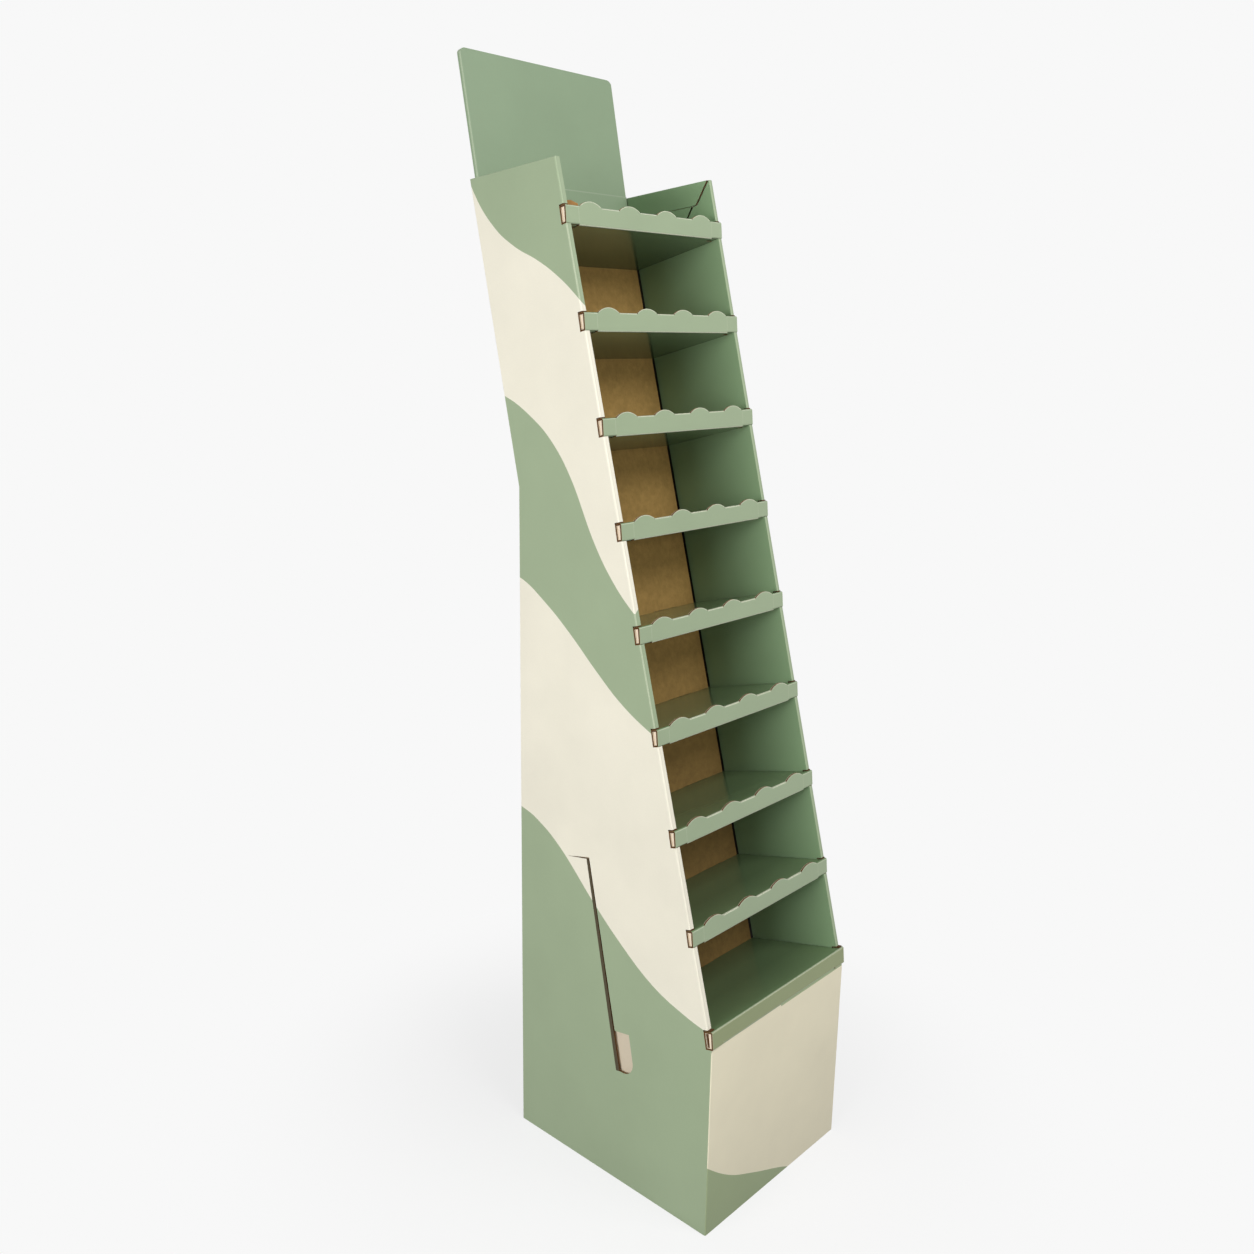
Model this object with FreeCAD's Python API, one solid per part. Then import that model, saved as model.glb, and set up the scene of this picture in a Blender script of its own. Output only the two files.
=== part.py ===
import FreeCAD, Part
import math
import os
from FreeCAD import Vector

# Floor-standing shelf display of folded corrugated board, in millimetres.
# +X is to the right of someone who faces it, -Y is the front, +Z is up.
# The origin lies on the floor, under the middle of the display's bounding box.
#
# One wrapped sheet makes the case: rear panel, double side walls that roll
# over at the slanted front, and the plinth front. A flat back panel stands in
# it, parallel to the slanted front. Eight box-section shelves and a base shelf
# hook into notches in the side walls and tab into the back panel. A two-ply
# header card is pushed in at the rear of the top bay.

# ---- driving dimensions -------------------------------------------------
CASE_WIDTH = 350.0            # over the outer faces of the side walls
CASE_DEPTH = 410.0            # at the floor
PLINTH_HEIGHT = 314.0         # where the upright front turns into the slanted one
SLANT_ANGLE = 14.7            # of the open front, from the vertical
REAR_LEAN = 13.0              # of the rear panel's upper part

BOARD = 3.0                   # thickness of the corrugated board
WALL_GAP = 3.0                # between the two layers of a side wall
FOLD_RADIUS = 2.4             # outside of a fold
FIT = 0.3                     # between pieces that slide together
SIDE_PLAY = 1.5               # between a shelf or the header and a side wall
BACK_SIDE_PLAY = 4.0          # between the back panel and a side wall

BAY_DEPTH = 175.5             # from the slanted front to the back panel
INNER_WALL_DEPTH = 240.0      # how far the inner layer of a side wall reaches
TOP_FLAP_DEPTH = 35.0         # flap folded in from a side wall's top edge
MITRE_GAP = 1.6               # between that flap and the inner layer
MITRE_SETBACK = 5.0           # of the mitre's start, in front of the side wall's corner
MITRE_STEP = 9.0              # sideways, where the mitre runs on below the flap
FLAP_GAP = 0.8                # under the flap's lower edge

SIDE_RISE = 67.5              # of the open front's top end, above the top shelf's floor
BACK_RISE = 17.5              # of the back panel's top edge
REAR_RISE = 75.0              # of the rear panel's top edge, above the back panel's
REAR_PLAY = 2.4               # between the back panel's top edge and the rear panel

SHELF_COUNT = 8
SHELF_PITCH = 150.0
FIRST_SHELF = 160.5           # underside of the lowest shelf, up the slant
BASE_SHELF = 8.0              # underside of the base shelf, up the slant
SHELF_HEIGHT = 27.0           # of a shelf's box section, and so of its lip
LIP_LEAN = 9.0                # how far the lip stands out from the slant, degrees
BASE_OVERHANG = 4.5           # of the base lip, in front of the plinth

EAR_LENGTH = 26.0             # hollow end of a lip that hooks over a side wall
EAR_DEPTH = 9.5               # of that end, behind the slanted front
EAR_TAPER = 1.5               # it is shallower by this much at the top
EAR_STEP = 1.5                # between the edges of the ear and of the lip
NOTCH_PLAY = 2.0              # above the ear, in its notch

SCALLOP_COUNT = 4
SCALLOP_PITCH = 83.0
SCALLOP_CHORD = 42.0
SCALLOP_RISE = 6.5

TAB_WIDTH = 60.0
TAB_SPACING = 170.0

HEADER_HEIGHT = 190.0
HEADER_LEAN = 11.7
HEADER_CORNER = 12.0
HEADER_PLY_GAP = 1.0
TONGUE_PLAY = 0.3             # between the header's tongue and the back panel

SLIT_TOP = 288.0              # of the hand slit in the outer side panels, up the slant
SLIT_FOOT = -64.0
SLIT_SETBACK = 8.0            # of its top, behind the back panel
SLIT_DRIFT = 16.0             # how much further back its foot is
SLIT_LEDGE = 50.0             # its level cut
SLIT_TOP_WIDTH = 1.6
SLIT_BOTTOM_WIDTH = 3.4
THUMB_HOLE_LENGTH = 68.0
THUMB_HOLE_REACH = 30.0
THUMB_HOLE_RISE = 6.0
THUMB_HOLE_RADIUS = 22.0

# How far the shapes that only cut reach past what they cut.
BEYOND = 60.0
PAST = 1.0
HAIR = 0.1

# ---- the slanted frame --------------------------------------------------
# "up" runs along the open front and "depth" runs straight back from it.
HALF_WIDTH = CASE_WIDTH / 2
SIDE_WALL = 2 * BOARD + WALL_GAP
HALF_MOUTH = HALF_WIDTH - SIDE_WALL
SLANT = math.radians(SLANT_ANGLE)
UP = (math.sin(SLANT), math.cos(SLANT))
BACK = (math.cos(SLANT), -math.sin(SLANT))
BACK_REAR = BAY_DEPTH + BOARD
SHELF_UNDERSIDES = [FIRST_SHELF + SHELF_PITCH * number for number in range(SHELF_COUNT)]
TOP_FLOOR = SHELF_UNDERSIDES[-1] + SHELF_HEIGHT
SLANT_LENGTH = TOP_FLOOR + SIDE_RISE
BACK_TOP = TOP_FLOOR + BACK_RISE


def on_slant(up, depth):
    """The (y, z) of a point given in the slanted frame."""
    y = -CASE_DEPTH + up * UP[0] + depth * BACK[0]
    z = PLINTH_HEIGHT + up * UP[1] + depth * BACK[1]
    return (y, z)


# The rear panel leans back just far enough to clear the back panel's top edge.
LEAN = math.radians(REAR_LEAN)
BACK_CORNER = on_slant(BACK_TOP, BACK_REAR)
REAR_FOLD_HEIGHT = BACK_CORNER[1] - (
    BACK_CORNER[0] + (BOARD + REAR_PLAY) / math.cos(LEAN)) / math.tan(LEAN)
REAR_TOP_HEIGHT = BACK_CORNER[1] + REAR_RISE


def rear_face(height, inset):
    """The y of the rear panel at a height, this far inside its outer face."""
    if height <= REAR_FOLD_HEIGHT:
        return -inset
    return (height - REAR_FOLD_HEIGHT) * math.tan(LEAN) - inset / math.cos(LEAN)


FRONT_TOP = on_slant(SLANT_LENGTH, 0)
REAR_TOP = (rear_face(REAR_TOP_HEIGHT, 0), REAR_TOP_HEIGHT)


# ---- small helpers ------------------------------------------------------
def plate(outline, x_from, x_to):
    """A (y, z) outline extruded along X."""
    points = [Vector(x_from, y, z) for y, z in outline]
    face = Part.Face(Part.makePolygon(points + points[:1]))
    return face.extrude(Vector(x_to - x_from, 0, 0))


def both_sides(outline, inner, outer):
    """The same plate on the left and on the right."""
    return [plate(outline, inner, outer), plate(outline, -outer, -inner)]


def slanted(corners):
    """An outline given as (depth, up) corners of the slanted frame."""
    return [on_slant(up, depth) for depth, up in corners]


def inset(outline, distance):
    """The outline moved inwards, with its corners kept sharp."""
    points = [Vector(0, y, z) for y, z in outline]
    wire = Part.makePolygon(points + points[:1])
    moved = wire.makeOffset2D(-distance, 2)
    if moved.BoundBox.DiagonalLength > wire.BoundBox.DiagonalLength:
        moved = wire.makeOffset2D(distance, 2)
    return [(vertex.Y, vertex.Z) for vertex in moved.OrderedVertexes]


def round_folds(shape, radius, chosen):
    """Fillet the edges whose midpoint and direction pass the test."""
    edges = []
    for edge in shape.Edges:
        middle = edge.valueAt((edge.FirstParameter + edge.LastParameter) / 2)
        along = (edge.Vertexes[-1].Point - edge.Vertexes[0].Point).normalize()
        if chosen(middle, along):
            edges.append(edge)
    return shape.makeFillet(radius, edges)


def fuse(shapes):
    return shapes[0].multiFuse(shapes[1:]).removeSplitter()


def cut(shape, tools):
    return shape.cut(Part.makeCompound(tools))


# ---- the case -----------------------------------------------------------
SIDE_PROFILE = [(0, 0), (-CASE_DEPTH, 0), (-CASE_DEPTH, PLINTH_HEIGHT), FRONT_TOP,
                REAR_TOP, (0, REAR_FOLD_HEIGHT)]


def toward(start, end, distance):
    """The point this far from start, in the direction of end."""
    length = math.dist(start, end)
    return tuple(a + (b - a) * distance / length for a, b in zip(start, end))


def mouth_outline():
    """What is cut away between the side walls to open the front and the top."""
    rear = [(rear_face(height, BOARD), height)
            for height in (REAR_TOP_HEIGHT - BEYOND, REAR_TOP_HEIGHT + BEYOND)]
    return [on_slant(BASE_SHELF, -BEYOND), on_slant(BASE_SHELF, BEYOND)] + rear + [
        on_slant(SLANT_LENGTH + BEYOND, -BEYOND)]


def ear_outline(underside, step, overhang, play):
    """Section through the hollow end of a lip, grown by a play at the back and top."""
    lean = math.tan(math.radians(LIP_LEAN))
    top = SHELF_HEIGHT
    front_low = (-overhang - step * lean, underside + step)
    front_high = (-overhang - top * lean, underside + top)
    rear_high = (EAR_DEPTH - EAR_TAPER, underside + top)
    rear_low = (EAR_DEPTH, underside + step)
    if play:
        front_low = (-BEYOND, underside + step)
        front_high = (-BEYOND, underside + top + NOTCH_PLAY)
        rear_high = (EAR_DEPTH - EAR_TAPER + play, underside + top + NOTCH_PLAY)
        rear_low = (EAR_DEPTH + play, underside + step)
    return slanted([front_low, front_high, rear_high, rear_low])


def mitre_outlines():
    """The thin gaps in a side wall's inner layer: under the top flap and at its mitred end.

    The mitre leaves the wall's top corner halfway between the slant and its normal,
    steps back where it passes the flap, and ends level with the top shelf's floor.
    """
    top_slope = (REAR_TOP[1] - FRONT_TOP[1]) / (REAR_TOP[0] - FRONT_TOP[0])
    steep = (BACK[0] - UP[0], BACK[1] - UP[1])
    run = TOP_FLAP_DEPTH / (steep[0] * top_slope - steep[1])
    across = MITRE_GAP * math.sqrt(2)

    def gap_from(up, depth, length):
        """A mitred gap that runs down and back from a point of the slanted frame."""
        return slanted([(depth, up), (depth + length, up - length),
                        (depth + length + across, up - length), (depth + across, up)])

    upper = gap_from(SLANT_LENGTH + MITRE_SETBACK, -MITRE_SETBACK, run + MITRE_SETBACK)
    knee_up = SLANT_LENGTH - run
    step = slanted([(run, knee_up + MITRE_GAP), (run, knee_up),
                    (run + MITRE_STEP + across, knee_up),
                    (run + MITRE_STEP + across, knee_up + MITRE_GAP)])
    lower = gap_from(knee_up, run + MITRE_STEP, knee_up - TOP_FLOOR)

    def below_flap(y, drop):
        return (y, FRONT_TOP[1] - TOP_FLAP_DEPTH - drop + (y - FRONT_TOP[0]) * top_slope)

    front, rear = lower[0][0], rear_face(REAR_TOP_HEIGHT, 0)
    under_flap = [below_flap(front, FLAP_GAP), below_flap(front, 0), below_flap(rear, 0),
                  below_flap(rear, FLAP_GAP)]
    return [upper, step, lower, under_flap]


def inner_layer_outline():
    """The inner layer of a side wall, from the front fold to its free edge."""
    rear = BOARD + FIT
    upper_rear = [(rear_face(height, rear), height)
                  for height in (REAR_TOP_HEIGHT - BOARD / 2, REAR_FOLD_HEIGHT)]
    meeting = PLINTH_HEIGHT + ((CASE_DEPTH - rear) * BACK[0] - INNER_WALL_DEPTH) / UP[0]
    half = BOARD / 2
    return [on_slant(0, half + FIT), on_slant(SLANT_LENGTH - half, half)] + upper_rear + [
        (-rear, meeting), on_slant(-PLINTH_HEIGHT / UP[1] + INNER_WALL_DEPTH * math.tan(SLANT),
                                   INNER_WALL_DEPTH),
        (-CASE_DEPTH + BOARD + FIT, 0), (-CASE_DEPTH + BOARD + FIT, PLINTH_HEIGHT)]


def slit_tools():
    """The L-shaped hand slit in both outer side panels, with its D-shaped thumb hole."""
    corner = on_slant(SLIT_TOP, BACK_REAR + SLIT_SETBACK)
    ledge_end = on_slant(SLIT_TOP, BACK_REAR + SLIT_SETBACK + SLIT_LEDGE)
    foot = on_slant(SLIT_FOOT, BACK_REAR + SLIT_SETBACK + SLIT_DRIFT)
    ledge = [ledge_end, corner, (corner[0], corner[1] - SLIT_BOTTOM_WIDTH)]
    slit = [corner, (corner[0] + SLIT_TOP_WIDTH, corner[1]),
            (foot[0] + SLIT_BOTTOM_WIDTH, foot[1]), foot]

    hole_top = toward(foot, corner, THUMB_HOLE_LENGTH)
    within = SLIT_TOP_WIDTH / 2
    hole = [(hole_top[0] + within, hole_top[1]),
            (hole_top[0] - THUMB_HOLE_REACH, hole_top[1] + THUMB_HOLE_RISE),
            (foot[0] - THUMB_HOLE_REACH, foot[1]), (foot[0] + within, foot[1])]
    low_front = hole[2]

    tools = []
    inner, outer = HALF_WIDTH - BOARD - HAIR, HALF_WIDTH + PAST
    for block in both_sides(hole, inner, outer):
        tools.append(round_folds(block, THUMB_HOLE_RADIUS,
                                 lambda at, along: math.dist((at.y, at.z), low_front) < HAIR))
    return tools + both_sides(ledge, inner, outer) + both_sides(slit, inner, outer)


def make_case():
    envelope = plate(SIDE_PROFILE, -HALF_WIDTH, HALF_WIDTH)
    envelope = round_folds(envelope, FOLD_RADIUS,
                           lambda at, along: abs(at.x) > HALF_WIDTH - HAIR and at.z > HAIR)
    hollow = plate(inset(SIDE_PROFILE, BOARD), -HALF_WIDTH + BOARD, HALF_WIDTH - BOARD)
    floor_opening = plate([(-BOARD, -PAST), (-CASE_DEPTH + BOARD, -PAST),
                           (-CASE_DEPTH + BOARD, 2 * BOARD), (-BOARD, 2 * BOARD)],
                          -HALF_WIDTH + BOARD, HALF_WIDTH - BOARD)
    mouth = plate(mouth_outline(), -HALF_MOUTH, HALF_MOUTH)
    case = cut(envelope, [hollow, floor_opening, mouth])

    layers = both_sides(inner_layer_outline(), HALF_MOUTH, HALF_MOUTH + BOARD)
    case = fuse([case] + layers)
    tools = []
    for outline in mitre_outlines():
        tools += both_sides(outline, HALF_MOUTH - PAST, HALF_WIDTH - BOARD)
    for underside in SHELF_UNDERSIDES:
        notch = ear_outline(underside, EAR_STEP, 0, FIT)
        tools += both_sides(notch, HALF_WIDTH - EAR_LENGTH - FIT, HALF_WIDTH + PAST)
    base_notch = ear_outline(BASE_SHELF, -EAR_STEP, BASE_OVERHANG, FIT)
    tools += both_sides(base_notch, HALF_WIDTH - EAR_LENGTH - FIT, HALF_WIDTH + PAST)
    tools += slit_tools()
    return cut(case, tools)


# ---- shelves ------------------------------------------------------------
def scallop(underside, overhang, centre):
    """A round tab that stands up from the lip, and the hole it leaves in the floor."""
    radius = (SCALLOP_CHORD ** 2 / 4 + SCALLOP_RISE ** 2) / (2 * SCALLOP_RISE)
    lean = math.radians(LIP_LEAN)
    top = underside + SHELF_HEIGHT
    front = -overhang - SHELF_HEIGHT * math.tan(lean)
    drop = radius - SCALLOP_RISE

    lip_up = (UP[0] * math.cos(lean) - BACK[0] * math.sin(lean),
              UP[1] * math.cos(lean) - BACK[1] * math.sin(lean))
    lip_back = Vector(0, lip_up[1], -lip_up[0])
    y, z = on_slant(top, front)
    axis_point = Vector(centre, y - lip_up[0] * drop, z - lip_up[1] * drop)
    disc = Part.makeCylinder(radius, BOARD, axis_point, lip_back)
    above = plate(slanted([(-BEYOND, top - BOARD / 2), (BEYOND, top - BOARD / 2),
                           (BEYOND, top + 2 * SCALLOP_RISE), (-BEYOND, top + 2 * SCALLOP_RISE)]),
                  centre - SCALLOP_CHORD, centre + SCALLOP_CHORD)
    tab = disc.common(above)

    behind = front + BOARD / math.cos(lean)
    y, z = on_slant(top - 2 * BOARD, behind - drop)
    floor_up = Vector(0, UP[0], UP[1])
    hole = Part.makeCylinder(radius, 4 * BOARD, Vector(centre, y, z), floor_up)
    reach = plate(slanted([(behind, top - 2 * BOARD), (behind + 2 * SCALLOP_RISE, top - 2 * BOARD),
                           (behind + 2 * SCALLOP_RISE, top + PAST), (behind, top + PAST)]),
                  centre - SCALLOP_CHORD, centre + SCALLOP_CHORD)
    return tab, hole.common(reach)


def make_ear(underside, step, overhang):
    """The hollow, flattened loop at each end of a lip."""
    outline = ear_outline(underside, step, overhang, 0)
    inside = inset(outline, BOARD)
    loops = []
    for x_from, x_to in ((HALF_WIDTH - EAR_LENGTH, HALF_WIDTH),
                         (-HALF_WIDTH, -HALF_WIDTH + EAR_LENGTH)):
        block = plate(outline, x_from, x_to)
        block = round_folds(block, FOLD_RADIUS, lambda at, along: abs(along.x) > 0.9)
        loops.append(block.cut(plate(inside, x_from - PAST, x_to + PAST)))
    return loops


def make_shelf(underside, step, overhang, scalloped):
    """Floor, lip, underside and rear turned from one sheet, with its two ears.

    The folds at the rear stay sharp, where the back panel hides them.
    """
    lean = math.tan(math.radians(LIP_LEAN))
    half = HALF_MOUTH - SIDE_PLAY
    top = underside + SHELF_HEIGHT
    rear = BAY_DEPTH - FIT
    outline = slanted([(-overhang, underside), (-overhang - SHELF_HEIGHT * lean, top),
                       (rear, top), (rear, underside)])
    middle = on_slant(underside, BAY_DEPTH / 2)[0]
    box = plate(outline, -half, half)
    box = round_folds(box, FOLD_RADIUS, lambda at, along: abs(along.x) > 0.9 and at.y < middle)
    box = box.cut(plate(inset(outline, BOARD), -half - PAST, half + PAST))

    clear_of_ear = EAR_DEPTH + BOARD
    corner = slanted([(-BEYOND, underside - PAST), (clear_of_ear, underside - PAST),
                      (clear_of_ear, underside + BOARD + HAIR), (-BEYOND, underside + BOARD + HAIR)])
    box = cut(box, both_sides(corner, HALF_WIDTH - EAR_LENGTH, HALF_WIDTH))
    parts = [box] + make_ear(underside, step, overhang)

    tab = slanted([(rear - BOARD, top - BOARD), (BACK_REAR, top - BOARD),
                   (BACK_REAR, top), (rear - BOARD, top)])
    for side in (-1, 1):
        centre = side * TAB_SPACING / 2
        parts.append(plate(tab, centre - TAB_WIDTH / 2, centre + TAB_WIDTH / 2))

    holes = []
    if scalloped:
        for number in range(SCALLOP_COUNT):
            centre = (number - (SCALLOP_COUNT - 1) / 2) * SCALLOP_PITCH
            tab, hole = scallop(underside, overhang, centre)
            parts.append(tab)
            holes.append(hole)
    shelf = fuse(parts)
    return cut(shelf, holes) if holes else shelf


# ---- back panel and header ----------------------------------------------
def make_back_panel():
    half = HALF_MOUTH - BACK_SIDE_PLAY
    low = -PLINTH_HEIGHT / UP[1]
    tilt = math.tan(SLANT)
    panel = plate(slanted([(BAY_DEPTH, low + BAY_DEPTH * tilt), (BAY_DEPTH, BACK_TOP),
                           (BACK_REAR, BACK_TOP), (BACK_REAR, low + BACK_REAR * tilt)]),
                  -half, half)
    slots = []
    for underside in [BASE_SHELF] + SHELF_UNDERSIDES:
        top = underside + SHELF_HEIGHT
        slot = slanted([(BAY_DEPTH - PAST, top - BOARD - FIT), (BACK_REAR + PAST, top - BOARD - FIT),
                        (BACK_REAR + PAST, top + FIT), (BAY_DEPTH - PAST, top + FIT)])
        for side in (-1, 1):
            centre = side * TAB_SPACING / 2
            reach = TAB_WIDTH / 2 + FIT
            slots.append(plate(slot, centre - reach, centre + reach))
    return cut(panel, slots)


def make_header():
    """Two plies folded at the sides; the front ply runs on down as a tongue."""
    half = HALF_MOUTH - SIDE_PLAY
    lean = math.radians(HEADER_LEAN)
    thickness = 2 * BOARD + HEADER_PLY_GAP
    foot = Vector(0, rear_face(REAR_TOP_HEIGHT, BOARD + FIT),
                  REAR_TOP_HEIGHT + FIT + thickness * math.sin(lean))
    up = Vector(0, math.sin(lean), math.cos(lean))
    front = Vector(0, -math.cos(lean), math.sin(lean))

    def upright(x_half, ply_from, ply_to, low, high):
        """A slab of the header, from its foot's plane towards the front."""
        base = foot + up * low
        corners = [base + front * ply_from, base + front * ply_to,
                   base + front * ply_to + up * (high - low),
                   base + front * ply_from + up * (high - low)]
        return plate([(corner.y, corner.z) for corner in corners], -x_half, x_half)

    block = upright(half, BOARD - thickness, BOARD, 0, HEADER_HEIGHT)
    die_cut = round_folds(block, HEADER_CORNER, lambda at, along: abs(along.dot(front)) > 0.9
                          and at.z > REAR_TOP_HEIGHT + HEADER_HEIGHT / 2)
    block = round_folds(block, FOLD_RADIUS, lambda at, along: abs(along.dot(up)) > 0.9)
    block = block.common(die_cut)
    gap = upright(half - BOARD, -HEADER_PLY_GAP, 0, -PAST, HEADER_HEIGHT + PAST)

    seated = (BOARD + FIT - REAR_PLAY) / math.cos(LEAN)
    low_height = BACK_CORNER[1] + seated * math.tan(SLANT) + TONGUE_PLAY
    rear_inset = BOARD + FIT
    tongue = [(rear_face(low_height, rear_inset), low_height),
              (rear_face(REAR_TOP_HEIGHT, rear_inset), REAR_TOP_HEIGHT),
              (foot.y, foot.z),
              ((foot + front * BOARD).y, (foot + front * BOARD).z),
              (rear_face(REAR_TOP_HEIGHT, rear_inset + BOARD), REAR_TOP_HEIGHT),
              (rear_face(low_height, rear_inset + BOARD), low_height)]
    return fuse([block.cut(gap), plate(tongue, -half, half)])


# ---- the whole display --------------------------------------------------
def main():
    nodes = {
        "outer_case": make_case(),
        "back_panel": make_back_panel(),
        "base_shelf": make_shelf(BASE_SHELF, -EAR_STEP, BASE_OVERHANG, False),
        "header_card": make_header(),
    }
    for number, underside in enumerate(SHELF_UNDERSIDES, start=1):
        nodes["shelf_%d" % number] = make_shelf(underside, EAR_STEP, 0, True)

    boxes = [shape.BoundBox for shape in nodes.values()]
    middle = (min(box.YMin for box in boxes) + max(box.YMax for box in boxes)) / 2
    os.makedirs("parts", exist_ok=True)
    for name, shape in nodes.items():
        shape.translate(Vector(0, -middle, 0))
        shape.exportStep("parts/%s.step" % name)
        print(name, shape.isValid(), len(shape.Solids), round(shape.Volume), shape.BoundBox)


main()
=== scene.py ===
import math

import bmesh
import bpy
import numpy as np
from mathutils import Matrix, Vector
from mathutils.bvhtree import BVHTree


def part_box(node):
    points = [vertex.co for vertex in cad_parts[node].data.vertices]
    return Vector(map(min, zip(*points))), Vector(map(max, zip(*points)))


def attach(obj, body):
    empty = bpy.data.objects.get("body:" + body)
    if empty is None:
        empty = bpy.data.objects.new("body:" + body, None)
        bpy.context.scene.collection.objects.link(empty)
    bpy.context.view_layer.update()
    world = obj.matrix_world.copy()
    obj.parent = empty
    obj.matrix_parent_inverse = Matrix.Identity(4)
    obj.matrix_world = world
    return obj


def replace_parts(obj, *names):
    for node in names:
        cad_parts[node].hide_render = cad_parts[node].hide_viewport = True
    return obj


bl_info = {
    "name": "Slanted Shelf Display",
    "version": (1, 0, 0),
    "blender": (4, 5, 0),
    "location": "View3D > Sidebar > Display",
    "description": "Dresses a floor-standing shelf display of folded, printed board",
    "category": "Object",
}

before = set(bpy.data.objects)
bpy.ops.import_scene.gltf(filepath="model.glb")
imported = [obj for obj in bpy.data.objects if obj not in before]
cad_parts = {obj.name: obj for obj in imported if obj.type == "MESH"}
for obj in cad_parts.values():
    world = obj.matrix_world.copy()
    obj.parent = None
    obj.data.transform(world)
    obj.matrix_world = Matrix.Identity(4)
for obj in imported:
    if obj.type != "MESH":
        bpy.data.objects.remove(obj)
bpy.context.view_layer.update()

MM = 0.001
RIGHT = Vector((1, 0, 0))
FRONT = Vector((0, -1, 0))
UP = Vector((0, 0, 1))

# Places that the pieces share, in metres: the case's half width and front, the walls'
# inner faces, which stand just outside the header card, and the upright plinth's top.
CASE_LOW, CASE_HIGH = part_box("outer_case")
HALF_WIDTH = CASE_HIGH.x
PLINTH_FACE = CASE_LOW.y
MOUTH_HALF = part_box("header_card")[1].x + 1.5 * MM
PLINTH_TOP = 316 * MM
TRAYS = sorted(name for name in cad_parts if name.startswith("shelf_"))
SHELVES = TRAYS + ["base_shelf"]

# The kinds of a piece's faces, which are also its material slots: a liner that faces
# out, one that faces in, a cut edge's rim, and the hollow between its two liners.
OUTER, INNER, CUT, HOLLOW = range(4)
# A face looks along an axis when its normal's part along it is more than this, and lies
# level when its upward part is more than the next.
FACING = 0.9
LEVEL = 0.75
# Two faces are in one plane when their normals' product is more than this.
IN_PLANE = 0.9999
# The sharpest step between the strips of a rounded fold, and the widest such strip.
FOLD_STEP = math.radians(25)
FOLD_STRIP = 1.3 * MM
# A step between faces that is too slight to be a fold, or to keep as an edge.
FLAT_STEP = math.radians(2)
SAME_STEP = math.radians(0.4)
# Board behind a face is thin enough for a liner up to this many times its thickness.
THIN_BOARD = 1.4
# The least part of a sharp corner that counts as a way out of it, and how many times
# the liner or the depth a corner of a cut edge may move at most.
CORNER_SHARE = 0.15
CORNER_MOVE = 1.6
# How many strips up a fold its crown lies.
CROWN_STRIPS = 3
# How near places count as the same: on the board, at a cut, and behind a face.
NEAR = 0.1 * MM
CUT_NEAR = 0.01 * MM
FACE_NEAR = 0.5 * MM
# How deep the print on the plinth's front, and on a wall's two sides, is taken to go.
FRONT_SKIN = 1.2 * MM
SIDE_SKIN = 0.2 * MM
# How far off a face a ray starts.
OFF_FACE = 0.01 * MM

# The width of the cut that frees a scallop from the fold beside it, and an area in
# square metres that any scallop's face is over.
CUT_WIDTH = 0.15 * MM
SCALLOP_AREA = 100 * MM * MM
# The creases across a lip's front, one near each end: half their width, and how far up
# a fold they count as.
LIP_CREASE = 149 * MM
CREASE_HALF = 0.5 * MM
CREASE_WEAR = 0.3
# How wide a lip's upper cut edges are painted pale, partly worn ink and partly a painted
# highlight, and from how far below its middle.
PALE_EDGE_WIDTH = 1 * MM
PALE_EDGE_BELOW = 3 * MM
# How far out the crease down each front roll lies.
ROLL_CREASE = HALF_WIDTH - 3.1 * MM
# The height of the score across the header card.
HEADER_SCORE = 1559.5 * MM
# How far the back panel's front lies behind the slanted front.
BAY_REACH = 175.5 * MM
# The play of the back panel between the walls, at either side.
PANEL_PLAY = 2.2 * MM
# The front edge of the hand slit in the outer side panels, and how far the slit stands
# open behind it, at its foot and at its top, painted as a dark band of cut edge and shade.
SLIT_TOP = Vector((0, -21.9, 545.2)) * MM
SLIT_FOOT = Vector((0, -95.7, 200.7)) * MM
SLIT_OPEN = (10.5 * MM, 6.5 * MM)
# The mitred gaps in the walls' inner layer: how far back their rear edge springs, how
# thick the layer is, and where the upper and the lower gap's rear edge lies.
MITRE_PLAY = 1.9 * MM
MITRE_SKIN = 3.1 * MM
MITRE_REARS = (1.6 * MM, 7.96 * MM)
# The thickness of a loose paper flap, and of the fluting paper, drawn a little heavy.
FLAP_PAPER = 0.5 * MM
WEB_PAPER = 0.25 * MM
# How far below the cut the fluting's crests stay.
WEB_SUNK = 0.15 * MM
# The flaps tucked into the ears: how deep each corner lies, front low, front high,
# rear high, rear low, and how far they lap over the ear's walls.
FLAP_DEPTHS = (0.3 * MM, 0.3 * MM, 1.6 * MM, 1.6 * MM)
FLAP_LAP = 0.25 * MM
# How deep in the base lip's ends the dark sheet of painted shade lies, and its thickness.
SHADE_DEPTH = 2.6 * MM
SHADE_BOARD = 1 * MM
# The dark sheet above an ear, painted shade in the notch: its foot and its top above the
# ear's hollow, how far in it starts, and how far it reaches from there.
NOTCH_SHADE = (3.1 * MM, 4.8 * MM)
NOTCH_INSET = 0.5 * MM
NOTCH_REACH = 8.5 * MM
# The tabs under the lips' ends: their inner and outer end, how high above the
# underside they lie, how far they lap under the ear, and how far they reach back.
TAB_INNER = 149.05 * MM
TAB_OUTER = 164.4 * MM
TAB_RISE = 0.95 * MM
TAB_LAP = 3.4 * MM
TAB_REACH = 6.5 * MM
# The kraft web at the top lip: its end beside the first scallop, how far behind the
# lip's face it stands, how far back it meets the wall, its thickness, and its top edge
# as (share of its run, height).
SCALLOP_FOOT = 145.6 * MM
GUSSET_BEHIND = 3.4 * MM
GUSSET_REACH = 12 * MM
GUSSET_BOARD = 0.8 * MM
GUSSET_TOP = ((0.97, 5.5 * MM), (0.55, 10.5 * MM), (0.0, 10.5 * MM))
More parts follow.
